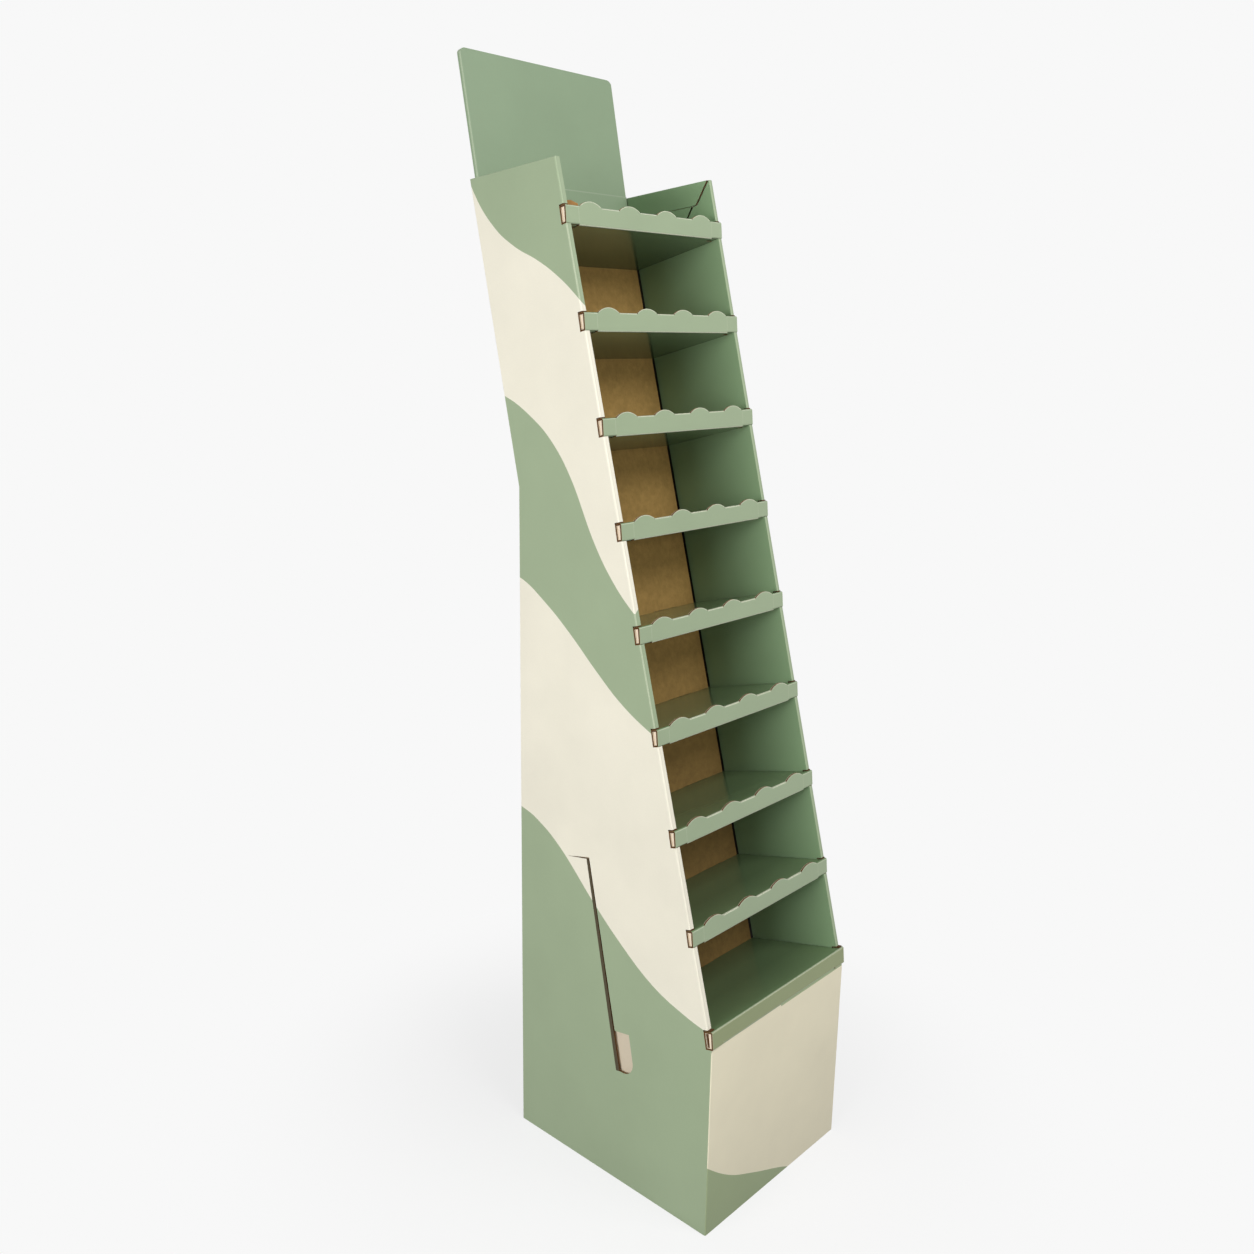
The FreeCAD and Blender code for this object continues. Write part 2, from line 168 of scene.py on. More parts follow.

# Painted light and shade that multiply an ink: shade down the rolls' crease, light and
# shade at the right roll's inner and outer fold, light in the lining at the mouth and on the
# floors at the lip, shade on the undersides.
CREASE_SHADE = 0.88
ROLL_LIGHT_AND_SHADE = (1.12, 0.8)
MOUTH_LIGHT = 1.16
LIP_FLOOR_LIGHT = 1.35
UNDERSIDE_SHADE = 0.65
# How far in front of the back panel the lining starts to be painted lighter, and a floor:
# painted light that comes in at the open front.
LINING_LIGHT_FROM = 95 * MM
FLOOR_LIGHT_FROM = 105 * MM
# How rough the satin lips and the varnished floors are.
SATIN = 0.38
VARNISH = 0.17
# Papers and inks that show only in small places, sRGB hex; among them a fold ink that is
# partly painted highlight, and the painted shade in the hand slit and behind the back panel.
WORN_AND_HIGHLIT_INK = "E2E1CB"
RUBBED_SCORE = "E4E6D4"
YELLOWED_VARNISH = "FFFCF1"
KRAFT_FLECK = "8A683C"
FLUTE_HOLLOW = "54381F"
SLIT_CUT_AND_SHADE = "3A3012"
GAP_SHADE = "1C150C"
WHITE = "FFFFFF"


# ---- settings a user would change ---------------------------------------
class BoardSettings(bpy.types.PropertyGroup):
    """Sizes of the corrugated board."""
    thickness: bpy.props.FloatProperty(
        name="Board thickness", description="Liner to liner", default=3 * MM, min=1 * MM,
        unit="LENGTH", precision=4)
    liner: bpy.props.FloatProperty(
        name="Liner thickness", description="One paper liner, drawn a little heavy",
        default=0.42 * MM, min=0.1 * MM, unit="LENGTH", precision=5)
    flute_pitch: bpy.props.FloatProperty(
        name="Flute pitch", description="From one crest of the fluting to the next",
        default=6.2 * MM, min=1 * MM, unit="LENGTH", precision=4)
    edge_depth: bpy.props.FloatProperty(
        name="Edge hollow", description="How far the hollows of a cut edge are sunk",
        default=1.1 * MM, min=0.0, unit="LENGTH", precision=4)


class PrintSettings(bpy.types.PropertyGroup):
    """Inks and papers, as they look under plain light."""
    sage: bpy.props.StringProperty(
        name="Sage ink", description="Flat sage green, sRGB hex", default="99A989")
    cream: bpy.props.StringProperty(
        name="Cream ink", description="Warm cream, sRGB hex", default="ECE7D5")
    lining: bpy.props.StringProperty(
        name="Sage lining", description="The same ink inside the walls, sRGB hex",
        default="8CA981")
    # The floors' sage is darker partly under varnish and partly as painted shade in the bays.
    varnished_and_shaded: bpy.props.StringProperty(
        name="Varnished sage", description="The same ink under varnish, sRGB hex",
        default="637855")
    yellowed: bpy.props.StringProperty(
        name="Yellowed sage", description="The base lip's older, yellower ink, sRGB hex",
        default="8C966C")
    header: bpy.props.StringProperty(
        name="Header sage", description="The deeper run of the header card, sRGB hex",
        default="869A7C")
    kraft: bpy.props.StringProperty(
        name="Kraft liner", description="Bare kraft paper, sRGB hex", default="A8864C")
    raw: bpy.props.StringProperty(
        name="Raw liner", description="Unprinted inside of the board, sRGB hex",
        default="D8CBB4")
    flap: bpy.props.StringProperty(
        name="Tucked flap", description="Paper inside the lips' ends, sRGB hex",
        default="F4E2CA")
    gusset: bpy.props.StringProperty(
        name="Kraft web", description="Kraft beside the top lip, sRGB hex", default="A87C48")
    flute: bpy.props.StringProperty(
        name="Fluting", description="Recycled paper of cut edges, sRGB hex", default="8A6844")


class StudioSettings(bpy.types.PropertyGroup):
    """Light, floor and camera."""
    backdrop: bpy.props.StringProperty(
        name="Backdrop", description="Floor and backdrop, sRGB hex", default="F8F8F8")
    fill: bpy.props.FloatProperty(
        name="Surround light", description="Strength of the even surround", default=0.22,
        min=0.0)
    key: bpy.props.FloatProperty(
        name="Key light", description="Power of the large soft lamp at the left", default=77.0,
        min=0.0, unit="POWER")
    front: bpy.props.FloatProperty(
        name="Front light", description="Power of the soft lamp at the front", default=23.0,
        min=0.0, unit="POWER")
    overhead: bpy.props.FloatProperty(
        name="High light", description="Power of the soft lamp above the front", default=45.0,
        min=0.0, unit="POWER")
    lens: bpy.props.FloatProperty(
        name="Lens", description="Focal length on a 36 mm sensor", default=34.283,
        unit="CAMERA")


# ---- small helpers ------------------------------------------------------
def srgb(code):
    """The linear colour of an sRGB hex code."""
    channels = [int(code[place:place + 2], 16) / 255 for place in (0, 2, 4)]
    return tuple(value / 12.92 if value <= 0.04045 else ((value + 0.055) / 1.055) ** 2.4
                 for value in channels) + (1.0,)


def add(tree, kind, inputs=None, **settings):
    """Adds a node with its settings and links.

    An input is a value, an output, or a node whose first output is meant. A Map Range
    node's inputs are 0 the value, 1 and 2 the range it is in, 3 and 4 the range it goes
    to; a Mix node's are 0 the share, 2 and 3 its numbers, 6 and 7 its colours.
    """
    node = tree.nodes.new(kind)
    for name, value in settings.items():
        setattr(node, name, value)
    for key, value in (inputs or {}).items():
        if isinstance(value, bpy.types.Node):
            value = value.outputs[0]
        if isinstance(value, bpy.types.NodeSocket):
            tree.links.new(value, node.inputs[key])
        else:
            node.inputs[key].default_value = value
    return node


def new_material(name, roughness, specular):
    """A material with only its shader and output; returns it, its tree and the shader."""
    material = bpy.data.materials.new(name)
    material.use_nodes = True
    tree = material.node_tree
    tree.nodes.clear()
    shader = add(tree, "ShaderNodeBsdfPrincipled",
                 {"Roughness": roughness, "Specular IOR Level": specular})
    add(tree, "ShaderNodeOutputMaterial", {"Surface": shader.outputs[0]})
    return material, tree, shader


def put(name, data):
    """A new object in the scene, at the origin."""
    thing = bpy.data.objects.new(name, data)
    bpy.context.scene.collection.objects.link(thing)
    return thing


def broadest(bm, way):
    """The largest of a sheet's faces that look a given way."""
    return max((face for face in bm.faces if face.normal.dot(way) > FACING),
               key=lambda face: face.calc_area())


# ---- board finishes -----------------------------------------------------
def paper_surface(tree, shader, colour, flute_axis, ridge, mottle=0.03, wear_and_highlight=0.3):
    """Gives a shader the look of board: mottle, fibres, faint flutes and pale folds.

    flute_axis holds the weights of x, y and z along which the flutes follow one
    another; ridge is how far they show through the liner, in millimetres; mottle is the
    share by which the tone varies; the last is the share of pale paper on a fold, partly
    worn ink and partly a painted highlight along its crown.
    """
    board = bpy.context.scene.display_board
    place = add(tree, "ShaderNodeTexCoord").outputs["Object"]
    # Ink lay-down varies over a hand's breadth, about 120 mm.
    cloud = add(tree, "ShaderNodeTexNoise", {"Vector": place, "Scale": 8.0, "Detail": 3.0,
                                             "Roughness": 0.55})
    # Paper fibres, really under 0.1 mm wide, are drawn at about 1.5 mm to show.
    fibre = add(tree, "ShaderNodeTexNoise", {"Vector": place, "Scale": 650.0, "Detail": 2.0,
                                             "Roughness": 0.6})
    tone = add(tree, "ShaderNodeMapRange", {0: cloud, 1: 0.3, 2: 0.7,
                                            3: 1 - mottle, 4: 1 + mottle})
    grain = add(tree, "ShaderNodeMapRange", {0: fibre, 1: 0.25, 2: 0.75,
                                             3: 1 - mottle * 0.6, 4: 1 + mottle * 0.6})
    shade = add(tree, "ShaderNodeMath", {0: tone, 1: grain}, operation="MULTIPLY")
    tinted = add(tree, "ShaderNodeVectorMath", {0: colour, "Scale": shade}, operation="SCALE")
    # Folds stretch the ink, so the paper under it shows through a little; the pale crown is
    # also a painted highlight along each fold.
    fold = add(tree, "ShaderNodeAttribute", attribute_name="fold").outputs["Fac"]
    breakup = add(tree, "ShaderNodeMapRange", {0: fibre, 1: 0.3, 2: 0.7,
                                             3: wear_and_highlight * 0.5, 4: wear_and_highlight * 1.5})
    paled = add(tree, "ShaderNodeMath", {0: fold, 1: breakup}, operation="MULTIPLY")
    worn_and_highlit = add(tree, "ShaderNodeMix", {0: paled, 6: tinted, 7: srgb(WORN_AND_HIGHLIT_INK)},
               data_type="RGBA").outputs[2]
    tree.links.new(worn_and_highlit, shader.inputs["Base Color"])

    # The bump's height is in millimetres: the flutes' ridge, and fibres of up to 0.02.
    along = add(tree, "ShaderNodeVectorMath", {0: place, 1: flute_axis},
                operation="DOT_PRODUCT").outputs["Value"]
    turns = add(tree, "ShaderNodeMath", {0: along, 1: 2 * math.pi / board.flute_pitch},
                operation="MULTIPLY")
    flutes = add(tree, "ShaderNodeMath", {0: turns}, operation="SINE")
    fine = add(tree, "ShaderNodeMath", {0: fibre, 1: 0.02}, operation="MULTIPLY")
    height = add(tree, "ShaderNodeMath", {0: flutes, 1: ridge, 2: fine},
                 operation="MULTIPLY_ADD")
    bump = add(tree, "ShaderNodeBump", {"Strength": 1.0, "Distance": 1 * MM, "Height": height})
    tree.links.new(bump.outputs[0], shader.inputs["Normal"])


# The edges between the two inks on a side panel, from the rear to the front:
# (distance behind the plinth's front, height above the floor), in millimetres.
WAVES = (
    ((530, 1588), (503, 1536), (461, 1488), (419, 1460), (365, 1437), (331, 1419), (292, 1392),
     (240, 1345)),
    ((530, 1262), (438, 1242), (382, 1215), (338, 1182), (299, 1134), (248, 1041), (215, 995),
     (170, 951), (100, 905)),
    ((530, 985), (406, 966), (347, 933), (302, 900), (237, 845), (194, 812), (137, 781),
     (60, 752)),
    ((530, 590), (402, 584), (361, 569), (319, 542), (242, 471), (187, 425), (120, 380),
     (55, 356), (0, 345)),
)
# The rear panel carries each edge on as a shallow arch, this much higher or lower.
REAR_ARCHES = (-60, 55, -50, 45)
# The same on the plinth's front: (distance from its left edge, height).
PLINTH_WAVE = ((0, 120), (56, 77), (115, 47), (194, 12), (260, -20), (350, -40))
# What the curves of the print cover: this far along a panel, and between these heights.
CURVE_SPAN = 600
CURVE_FLOOR = -100
CURVE_TOP = 1800


def wave_height(tree, along, points):
    """The height in metres of one edge of the print, at a distance along the panel."""
    share = add(tree, "ShaderNodeMath", {0: along, 1: CURVE_SPAN * MM}, operation="DIVIDE")
    curve = add(tree, "ShaderNodeFloatCurve", {"Value": share})
    line = curve.mapping.curves[0]
    reach = CURVE_TOP - CURVE_FLOOR
    placed = sorted((x / CURVE_SPAN, (z - CURVE_FLOOR) / reach) for x, z in points)
    line.points[0].location = placed[0]
    line.points[1].location = placed[-1]
    for x, z in placed[1:-1]:
        line.points.new(x, z)
    curve.mapping.update()
    return add(tree, "ShaderNodeMath", {0: curve, 1: reach * MM, 2: CURVE_FLOOR * MM},
               operation="MULTIPLY_ADD")


def panel_face():
    """The plane of the back panel's front: its normal and its distance from the origin."""
    bm = merged_copy("back_panel")
    face = broadest(bm, FRONT)
    normal = face.normal.copy()
    distance = normal.dot(face.calc_center_median())
    bm.free()
    return normal, distance


def before_panel(tree, place):
    """How far in front of the back panel a point lies, in metres."""
    normal, distance = panel_face()
    ahead = add(tree, "ShaderNodeVectorMath", {0: place, 1: normal},
                operation="DOT_PRODUCT").outputs["Value"]
    return add(tree, "ShaderNodeMath", {0: ahead, 1: distance}, operation="SUBTRACT")


def facing_parts(tree):
    """The x, y and z parts of the way that the surface faces."""
    normal = add(tree, "ShaderNodeNewGeometry").outputs["True Normal"]
    return add(tree, "ShaderNodeSeparateXYZ", {0: normal}).outputs


def printed_fields(tree, x, y, z):
    """Where the case's outside is sage and not cream, and where the plinth's front is."""
    behind = add(tree, "ShaderNodeMath", {0: y, 1: PLINTH_FACE}, operation="SUBTRACT")
    across = add(tree, "ShaderNodeMath", {0: x, 1: HALF_WIDTH}, operation="DIVIDE")
    square = add(tree, "ShaderNodeMath", {0: across, 1: 2.0}, operation="POWER")
    arch = add(tree, "ShaderNodeMath", {0: 1.0, 1: square}, operation="SUBTRACT")
    above = []
    for points, lift in zip(WAVES, REAR_ARCHES):
        edge = add(tree, "ShaderNodeMath", {
            0: arch, 1: lift * MM, 2: wave_height(tree, behind, points)},
            operation="MULTIPLY_ADD")
        above.append(add(tree, "ShaderNodeMath", {0: z, 1: edge}, operation="GREATER_THAN"))
    band = add(tree, "ShaderNodeMath", {0: above[2], 1: above[1]}, operation="SUBTRACT")
    foot = add(tree, "ShaderNodeMath", {0: 1.0, 1: above[3]}, operation="SUBTRACT")
    upper = add(tree, "ShaderNodeMath", {0: above[0], 1: band}, operation="MAXIMUM")
    sides = add(tree, "ShaderNodeMath", {0: upper, 1: foot}, operation="MAXIMUM")

    from_left = add(tree, "ShaderNodeMath", {0: x, 1: HALF_WIDTH}, operation="ADD")
    plinth = add(tree, "ShaderNodeMath", {0: z, 1: wave_height(tree, from_left, PLINTH_WAVE)},
                 operation="LESS_THAN")
    on_plinth = add(tree, "ShaderNodeMath", {0: behind, 1: FRONT_SKIN}, operation="LESS_THAN")
    return add(tree, "ShaderNodeMix", {0: on_plinth, 2: sides, 3: plinth}), on_plinth


def slit_cut_and_shade(tree, place, middle):
    """Where the panel is pushed in beside the hand slit, painted dark as cut edge and shade.
    """
    way = (SLIT_TOP - SLIT_FOOT).normalized()
    rearward = way.cross(RIGHT)
    along = add(tree, "ShaderNodeVectorMath", {0: place, 1: way},
                operation="DOT_PRODUCT").outputs["Value"]
    beyond = add(tree, "ShaderNodeVectorMath", {0: place, 1: rearward},
                 operation="DOT_PRODUCT").outputs["Value"]
    past = add(tree, "ShaderNodeMath", {0: beyond, 1: rearward.dot(SLIT_FOOT)},
               operation="SUBTRACT")
    low, high = way.dot(SLIT_FOOT), way.dot(SLIT_TOP)
    half = add(tree, "ShaderNodeMapRange", {0: along, 1: low, 2: high,
                                            3: SLIT_OPEN[0] / 2, 4: SLIT_OPEN[1] / 2})
    in_width = add(tree, "ShaderNodeMath", {0: past, 1: half, 2: half}, operation="COMPARE")
    in_run = add(tree, "ShaderNodeMath", {0: along, 1: (low + high) / 2, 2: (high - low) / 2},
                 operation="COMPARE")
    outer = add(tree, "ShaderNodeMath", {0: middle, 1: HALF_WIDTH - SIDE_SKIN},
                operation="GREATER_THAN")
    beside = add(tree, "ShaderNodeMath", {0: in_width, 1: in_run}, operation="MULTIPLY")
    return add(tree, "ShaderNodeMath", {0: beside, 1: outer}, operation="MULTIPLY")


def printed_case_board():
    """Flexo-printed clay-coated board: an even satin film in two inks, sage over cream."""
    inks = bpy.context.scene.display_print
    material, tree, shader = new_material("Flexo_Printed_Board", 0.52, 0.42)
    place = add(tree, "ShaderNodeTexCoord").outputs["Object"]
    x, y, z = add(tree, "ShaderNodeSeparateXYZ", {0: place}).outputs
    middle = add(tree, "ShaderNodeMath", {0: x}, operation="ABSOLUTE")
    facing_x, facing_y, _ = facing_parts(tree)
    fields, on_plinth = printed_fields(tree, x, y, z)

    # The walls' inner layer is the same sheet rolled over, all sage inside.
    inside = add(tree, "ShaderNodeMath", {0: middle, 1: MOUTH_HALF + SIDE_SKIN},
                 operation="LESS_THAN")
    sideways = add(tree, "ShaderNodeMath", {0: facing_x}, operation="ABSOLUTE")
    flat = add(tree, "ShaderNodeMath", {0: sideways, 1: FACING}, operation="GREATER_THAN")
    lining = add(tree, "ShaderNodeMath", {0: inside, 1: flat}, operation="MULTIPLY")

    # The right wall's roll is sage from the plinth up, whatever its side carries.
    forward = add(tree, "ShaderNodeMath", {0: facing_y, 1: -0.5}, operation="LESS_THAN")
    rightward = add(tree, "ShaderNodeMath", {0: x, 1: 0.0}, operation="GREATER_THAN")
    raised = add(tree, "ShaderNodeMath", {0: z, 1: PLINTH_TOP}, operation="GREATER_THAN")
    on_roll = add(tree, "ShaderNodeMath", {0: forward, 1: raised}, operation="MULTIPLY")
    right_roll = add(tree, "ShaderNodeMath", {0: on_roll, 1: rightward}, operation="MULTIPLY")
    sage = add(tree, "ShaderNodeMath", {0: fields, 1: right_roll}, operation="MAXIMUM")

    # The print stops at the back panel; behind it the wall is painted near-black, as painted
    # shade in the gap beside the panel.
    ahead = before_panel(tree, place)
    past_panel = add(tree, "ShaderNodeMath", {0: ahead, 1: -0.3 * MM}, operation="LESS_THAN")
    behind_panel_shade = add(tree, "ShaderNodeMath", {0: past_panel, 1: lining}, operation="MULTIPLY")

    # Each ink, bare paper or painted shade covers the ones before it.
    colour = srgb(inks.cream)
    for share, code in ((sage, inks.sage), (lining, inks.lining), (behind_panel_shade, GAP_SHADE),
                        (slit_cut_and_shade(tree, place, middle), SLIT_CUT_AND_SHADE)):
        colour = add(tree, "ShaderNodeMix", {0: share, 6: colour, 7: srgb(code)},
                     data_type="RGBA").outputs[2]
    # The varnish has yellowed on the plinth's front.
    warmth = add(tree, "ShaderNodeMix", {0: on_plinth, 6: srgb(WHITE),
                                         7: srgb(YELLOWED_VARNISH)},
                 data_type="RGBA").outputs[2]
    warmed = add(tree, "ShaderNodeVectorMath", {0: colour, 1: warmth}, operation="MULTIPLY")

    # Each roll is creased down its middle, where the two layers of the wall meet; the crease
    # is painted darker, as painted shade in its groove.
    from_crease = add(tree, "ShaderNodeMath", {0: middle, 1: ROLL_CREASE},
                      operation="SUBTRACT")
    apart = add(tree, "ShaderNodeMath", {0: from_crease}, operation="ABSOLUTE")
    groove = add(tree, "ShaderNodeMapRange", {0: apart, 1: 0.1 * MM, 2: 0.7 * MM,
                                              3: 1.0, 4: 0.0})
    creased = add(tree, "ShaderNodeMath", {0: groove, 1: on_roll}, operation="MULTIPLY")
    crease_darkening = add(tree, "ShaderNodeMapRange", {0: creased, 3: 1.0, 4: CREASE_SHADE})
    # The right wall's roll is painted lighter along its inner fold and darker at its outer
    # one:
    # painted light and shade, as the inner fold faces the light from the left and the outer
    # turns away.
    fade = add(tree, "ShaderNodeMapRange", {0: middle, 1: MOUTH_HALF + 3 * MM,
                                            2: HALF_WIDTH - MM,
                                            3: ROLL_LIGHT_AND_SHADE[0], 4: ROLL_LIGHT_AND_SHADE[1]})
    roll_shading = add(tree, "ShaderNodeMix", {0: right_roll, 2: 1.0, 3: fade})
    # The lining is painted lighter toward the open front: painted light, where light comes in
    # at the mouth.
    lit_mouth = add(tree, "ShaderNodeMapRange", {0: ahead, 1: LINING_LIGHT_FROM, 2: BAY_REACH,
                                              3: 1.0, 4: MOUTH_LIGHT})
    lining_light = add(tree, "ShaderNodeMix", {0: lining, 2: 1.0, 3: lit_mouth})
    rolls_shading = add(tree, "ShaderNodeMath", {0: crease_darkening, 1: roll_shading},
                     operation="MULTIPLY")
    tone = add(tree, "ShaderNodeMath", {0: rolls_shading, 1: lining_light}, operation="MULTIPLY")
    toned = add(tree, "ShaderNodeVectorMath", {0: warmed, "Scale": tone}, operation="SCALE")
    paper_surface(tree, shader, toned, (1.0, 1.0, 0.0), 0.012, wear_and_highlight=0.18)
    return material


def tray_board(name, lip_code, wear_and_highlight):
    """Board flooded with sage: satin lips, and deep glossy varnish on the floors.

    The varnish makes each floor mirror the kraft panel and the walls behind it. The floors'
    darker ink is partly the varnish and partly painted shade in the bays.
    """
    inks = bpy.context.scene.display_print
    material, tree, shader = new_material(name, SATIN, 0.5)
    upward = facing_parts(tree)[2]
    level = add(tree, "ShaderNodeMath", {0: upward}, operation="ABSOLUTE")
    varnished_and_shaded = add(tree, "ShaderNodeMath", {0: level, 1: LEVEL}, operation="GREATER_THAN")
    # Level faces take the darker sage: partly varnish, partly painted shade in the bays.
    ink = add(tree, "ShaderNodeMix", {0: varnished_and_shaded, 6: srgb(lip_code),
                                      7: srgb(inks.varnished_and_shaded)}, data_type="RGBA").outputs[2]
    # The floors are painted paler toward the lip: painted light, where light falls in over the
    # lip.
    place = add(tree, "ShaderNodeTexCoord").outputs["Object"]
    paled = add(tree, "ShaderNodeMapRange", {0: before_panel(tree, place), 1: FLOOR_LIGHT_FROM,
                                              2: BAY_REACH, 3: 1.0, 4: LIP_FLOOR_LIGHT})
    floor_light = add(tree, "ShaderNodeMix", {0: varnished_and_shaded, 2: 1.0, 3: paled})
    # The undersides are painted darker still: painted shade, as they face down, away from the
    # light.
    below = add(tree, "ShaderNodeMath", {0: upward, 1: -LEVEL}, operation="LESS_THAN")
    tone = add(tree, "ShaderNodeMix", {0: below, 2: floor_light, 3: UNDERSIDE_SHADE})
    toned = add(tree, "ShaderNodeVectorMath", {0: ink, "Scale": tone}, operation="SCALE")
    gloss = add(tree, "ShaderNodeMapRange", {0: varnished_and_shaded, 3: SATIN, 4: VARNISH})
    tree.links.new(gloss.outputs[0], shader.inputs["Roughness"])
    paper_surface(tree, shader, toned, (0.0, 1.0, 1.0), 0.006, wear_and_highlight=wear_and_highlight)
    return material


def header_board():
    """Sage litho-printed board with a soft satin film."""
    inks = bpy.context.scene.display_print
    material, tree, shader = new_material("Satin_Sage_Board", 0.48, 0.42)
    place = add(tree, "ShaderNodeTexCoord").outputs["Object"]
    # A score runs across the card just above the top lip, and its crest is rubbed.
    height = add(tree, "ShaderNodeSeparateXYZ", {0: place}).outputs[2]
    away = add(tree, "ShaderNodeMath", {0: height, 1: HEADER_SCORE}, operation="SUBTRACT")
    apart = add(tree, "ShaderNodeMath", {0: away}, operation="ABSOLUTE")
    paled = add(tree, "ShaderNodeMapRange", {0: apart, 1: 0.2 * MM, 2: 1.4 * MM,
                                              3: 0.14, 4: 0.0})
    colour = add(tree, "ShaderNodeMix", {0: paled, 6: srgb(inks.header),
                                         7: srgb(RUBBED_SCORE)}, data_type="RGBA").outputs[2]
    paper_surface(tree, shader, colour, (1.0, 0.0, 0.0), 0.010, wear_and_highlight=0.12)
    return material


def kraft_board():
    """Uncoated kraft linerboard: brown, dry and speckled with darker fibres."""
    inks = bpy.context.scene.display_print
    material, tree, shader = new_material("Uncoated_Kraft_Board", 0.78, 0.25)
    place = add(tree, "ShaderNodeTexCoord").outputs["Object"]
    # Flecks of bark lie along the height. Really under 1 mm wide, they are drawn at
    # about 2.4 mm to show.
    drawn = add(tree, "ShaderNodeVectorMath", {0: place, 1: (1.0, 1.0, 0.28)},
                operation="MULTIPLY")
    flecks = add(tree, "ShaderNodeTexNoise", {"Vector": drawn, "Scale": 420.0, "Detail": 3.0,
                                              "Roughness": 0.7})
    amount = add(tree, "ShaderNodeMapRange", {0: flecks, 1: 0.52, 2: 0.72, 3: 0.0, 4: 0.35})
    colour = add(tree, "ShaderNodeMix", {0: amount, 6: srgb(inks.kraft), 7: srgb(KRAFT_FLECK)},
                 data_type="RGBA").outputs[2]
    # The sheet is painted darker in the lower bays, from about 0.95 m down to 0.45 m:
    # painted shade, as the shelves above shade those bays.
    height = add(tree, "ShaderNodeSeparateXYZ", {0: place}).outputs[2]
    low_bay_shade = add(tree, "ShaderNodeMapRange", {0: height, 1: 0.45, 2: 0.95, 3: 0.52, 4: 1.0},
               interpolation_type="SMOOTHSTEP")
    # Blotches about 11 mm wide, where the pulp has clotted.
    clots = add(tree, "ShaderNodeTexNoise", {"Vector": place, "Scale": 90.0, "Detail": 3.0,
                                             "Roughness": 0.6})
    blotch = add(tree, "ShaderNodeMapRange", {0: clots, 1: 0.3, 2: 0.7, 3: 0.88, 4: 1.12})
    depth = add(tree, "ShaderNodeMath", {0: low_bay_shade, 1: blotch}, operation="MULTIPLY")
    deeper = add(tree, "ShaderNodeVectorMath", {0: colour, "Scale": depth}, operation="SCALE")
    paper_surface(tree, shader, deeper, (1.0, 0.0, 0.0), 0.016, 0.07)
    return material


def plain_paper(name, code):
    """An unprinted liner: matt, dry paper, faintly mottled."""
    material, tree, shader = new_material(name, 0.8, 0.25)
    paper_surface(tree, shader, srgb(code)[:3], (1.0, 1.0, 0.0), 0.016, 0.05)
    return material


def cut_edge(name, code):
    """Die-cut board edge: rough brown fluting paper between two liners."""
    material, tree, shader = new_material(name, 0.9, 0.2)
    place = add(tree, "ShaderNodeTexCoord").outputs["Object"]
    # Torn fibres stand about 1 mm apart.
    fray = add(tree, "ShaderNodeTexNoise", {"Vector": place, "Scale": 900.0, "Detail": 3.0,
                                            "Roughness": 0.7})
    shade = add(tree, "ShaderNodeMapRange", {0: fray, 1: 0.25, 2: 0.75, 3: 0.7, 4: 1.25})
    colour = add(tree, "ShaderNodeVectorMath", {0: srgb(code)[:3], "Scale": shade},
                 operation="SCALE")
    tree.links.new(colour.outputs[0], shader.inputs["Base Color"])
    bump = add(tree, "ShaderNodeBump", {"Strength": 1.0, "Distance": 0.2 * MM, "Height": fray})
    tree.links.new(bump.outputs[0], shader.inputs["Normal"])
    return material


def finish(name):
    """A board finish by name, made the first time it is asked for."""
    inks = bpy.context.scene.display_print
    makers = {
        "case": printed_case_board,
        "kraft": kraft_board,
        "header": header_board,
        "tray": lambda: tray_board("Varnished_Sage_Board", inks.sage, 0.55),
        "base": lambda: tray_board("Yellowed_Sage_Board", inks.yellowed, 0.3),
        "raw": lambda: plain_paper("Pale_Recycled_Liner", inks.raw),
        "flap": lambda: plain_paper("Bleached_Liner", inks.flap),
        "gusset": lambda: plain_paper("Kraft_Liner_Web", inks.gusset),
        "rim": lambda: cut_edge("Kraft_Cut_Rim", inks.flute),
        "hollow": lambda: cut_edge("Fluting_Hollow", FLUTE_HOLLOW),
        "wave": lambda: cut_edge("Waved_Fluting_Paper", inks.flute),
    }
    key = "finish_" + name
    known = bpy.context.scene.get(key)
    if known is None:
        known = makers[name]()
        bpy.context.scene[key] = known
    return known


# ---- board geometry -----------------------------------------------------
def join_flat_faces(bm):
    """Joins the faces that lie in one plane."""
    bmesh.ops.dissolve_limit(bm, angle_limit=SAME_STEP, verts=bm.verts[:],
                             edges=bm.edges[:])
    bm.normal_update()


def merged_copy(node):
    """A bmesh of a CAD node with its loose triangles joined and its flat faces whole."""
    bm = bmesh.new()
    bm.from_mesh(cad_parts[node].data)
    bmesh.ops.remove_doubles(bm, verts=bm.verts[:], dist=0.004 * MM)
    join_flat_faces(bm)
    bm.faces.ensure_lookup_table()
    return bm


def smooth_groups(bm):
    """Faces that run on into one another across folds but not across sharp edges."""
    groups, seen = [], set()
    for start in bm.faces:
        if start.index in seen:
            continue
        seen.add(start.index)
        group, waiting = [], [start]
        while waiting:
            face = waiting.pop()
            group.append(face)
            for edge in face.edges:
                if len(edge.link_faces) != 2 or edge.calc_face_angle() > FOLD_STEP:
                    continue
                for other in edge.link_faces:
                    if other.index not in seen:
                        seen.add(other.index)
                        waiting.append(other)
        groups.append(group)
    return groups


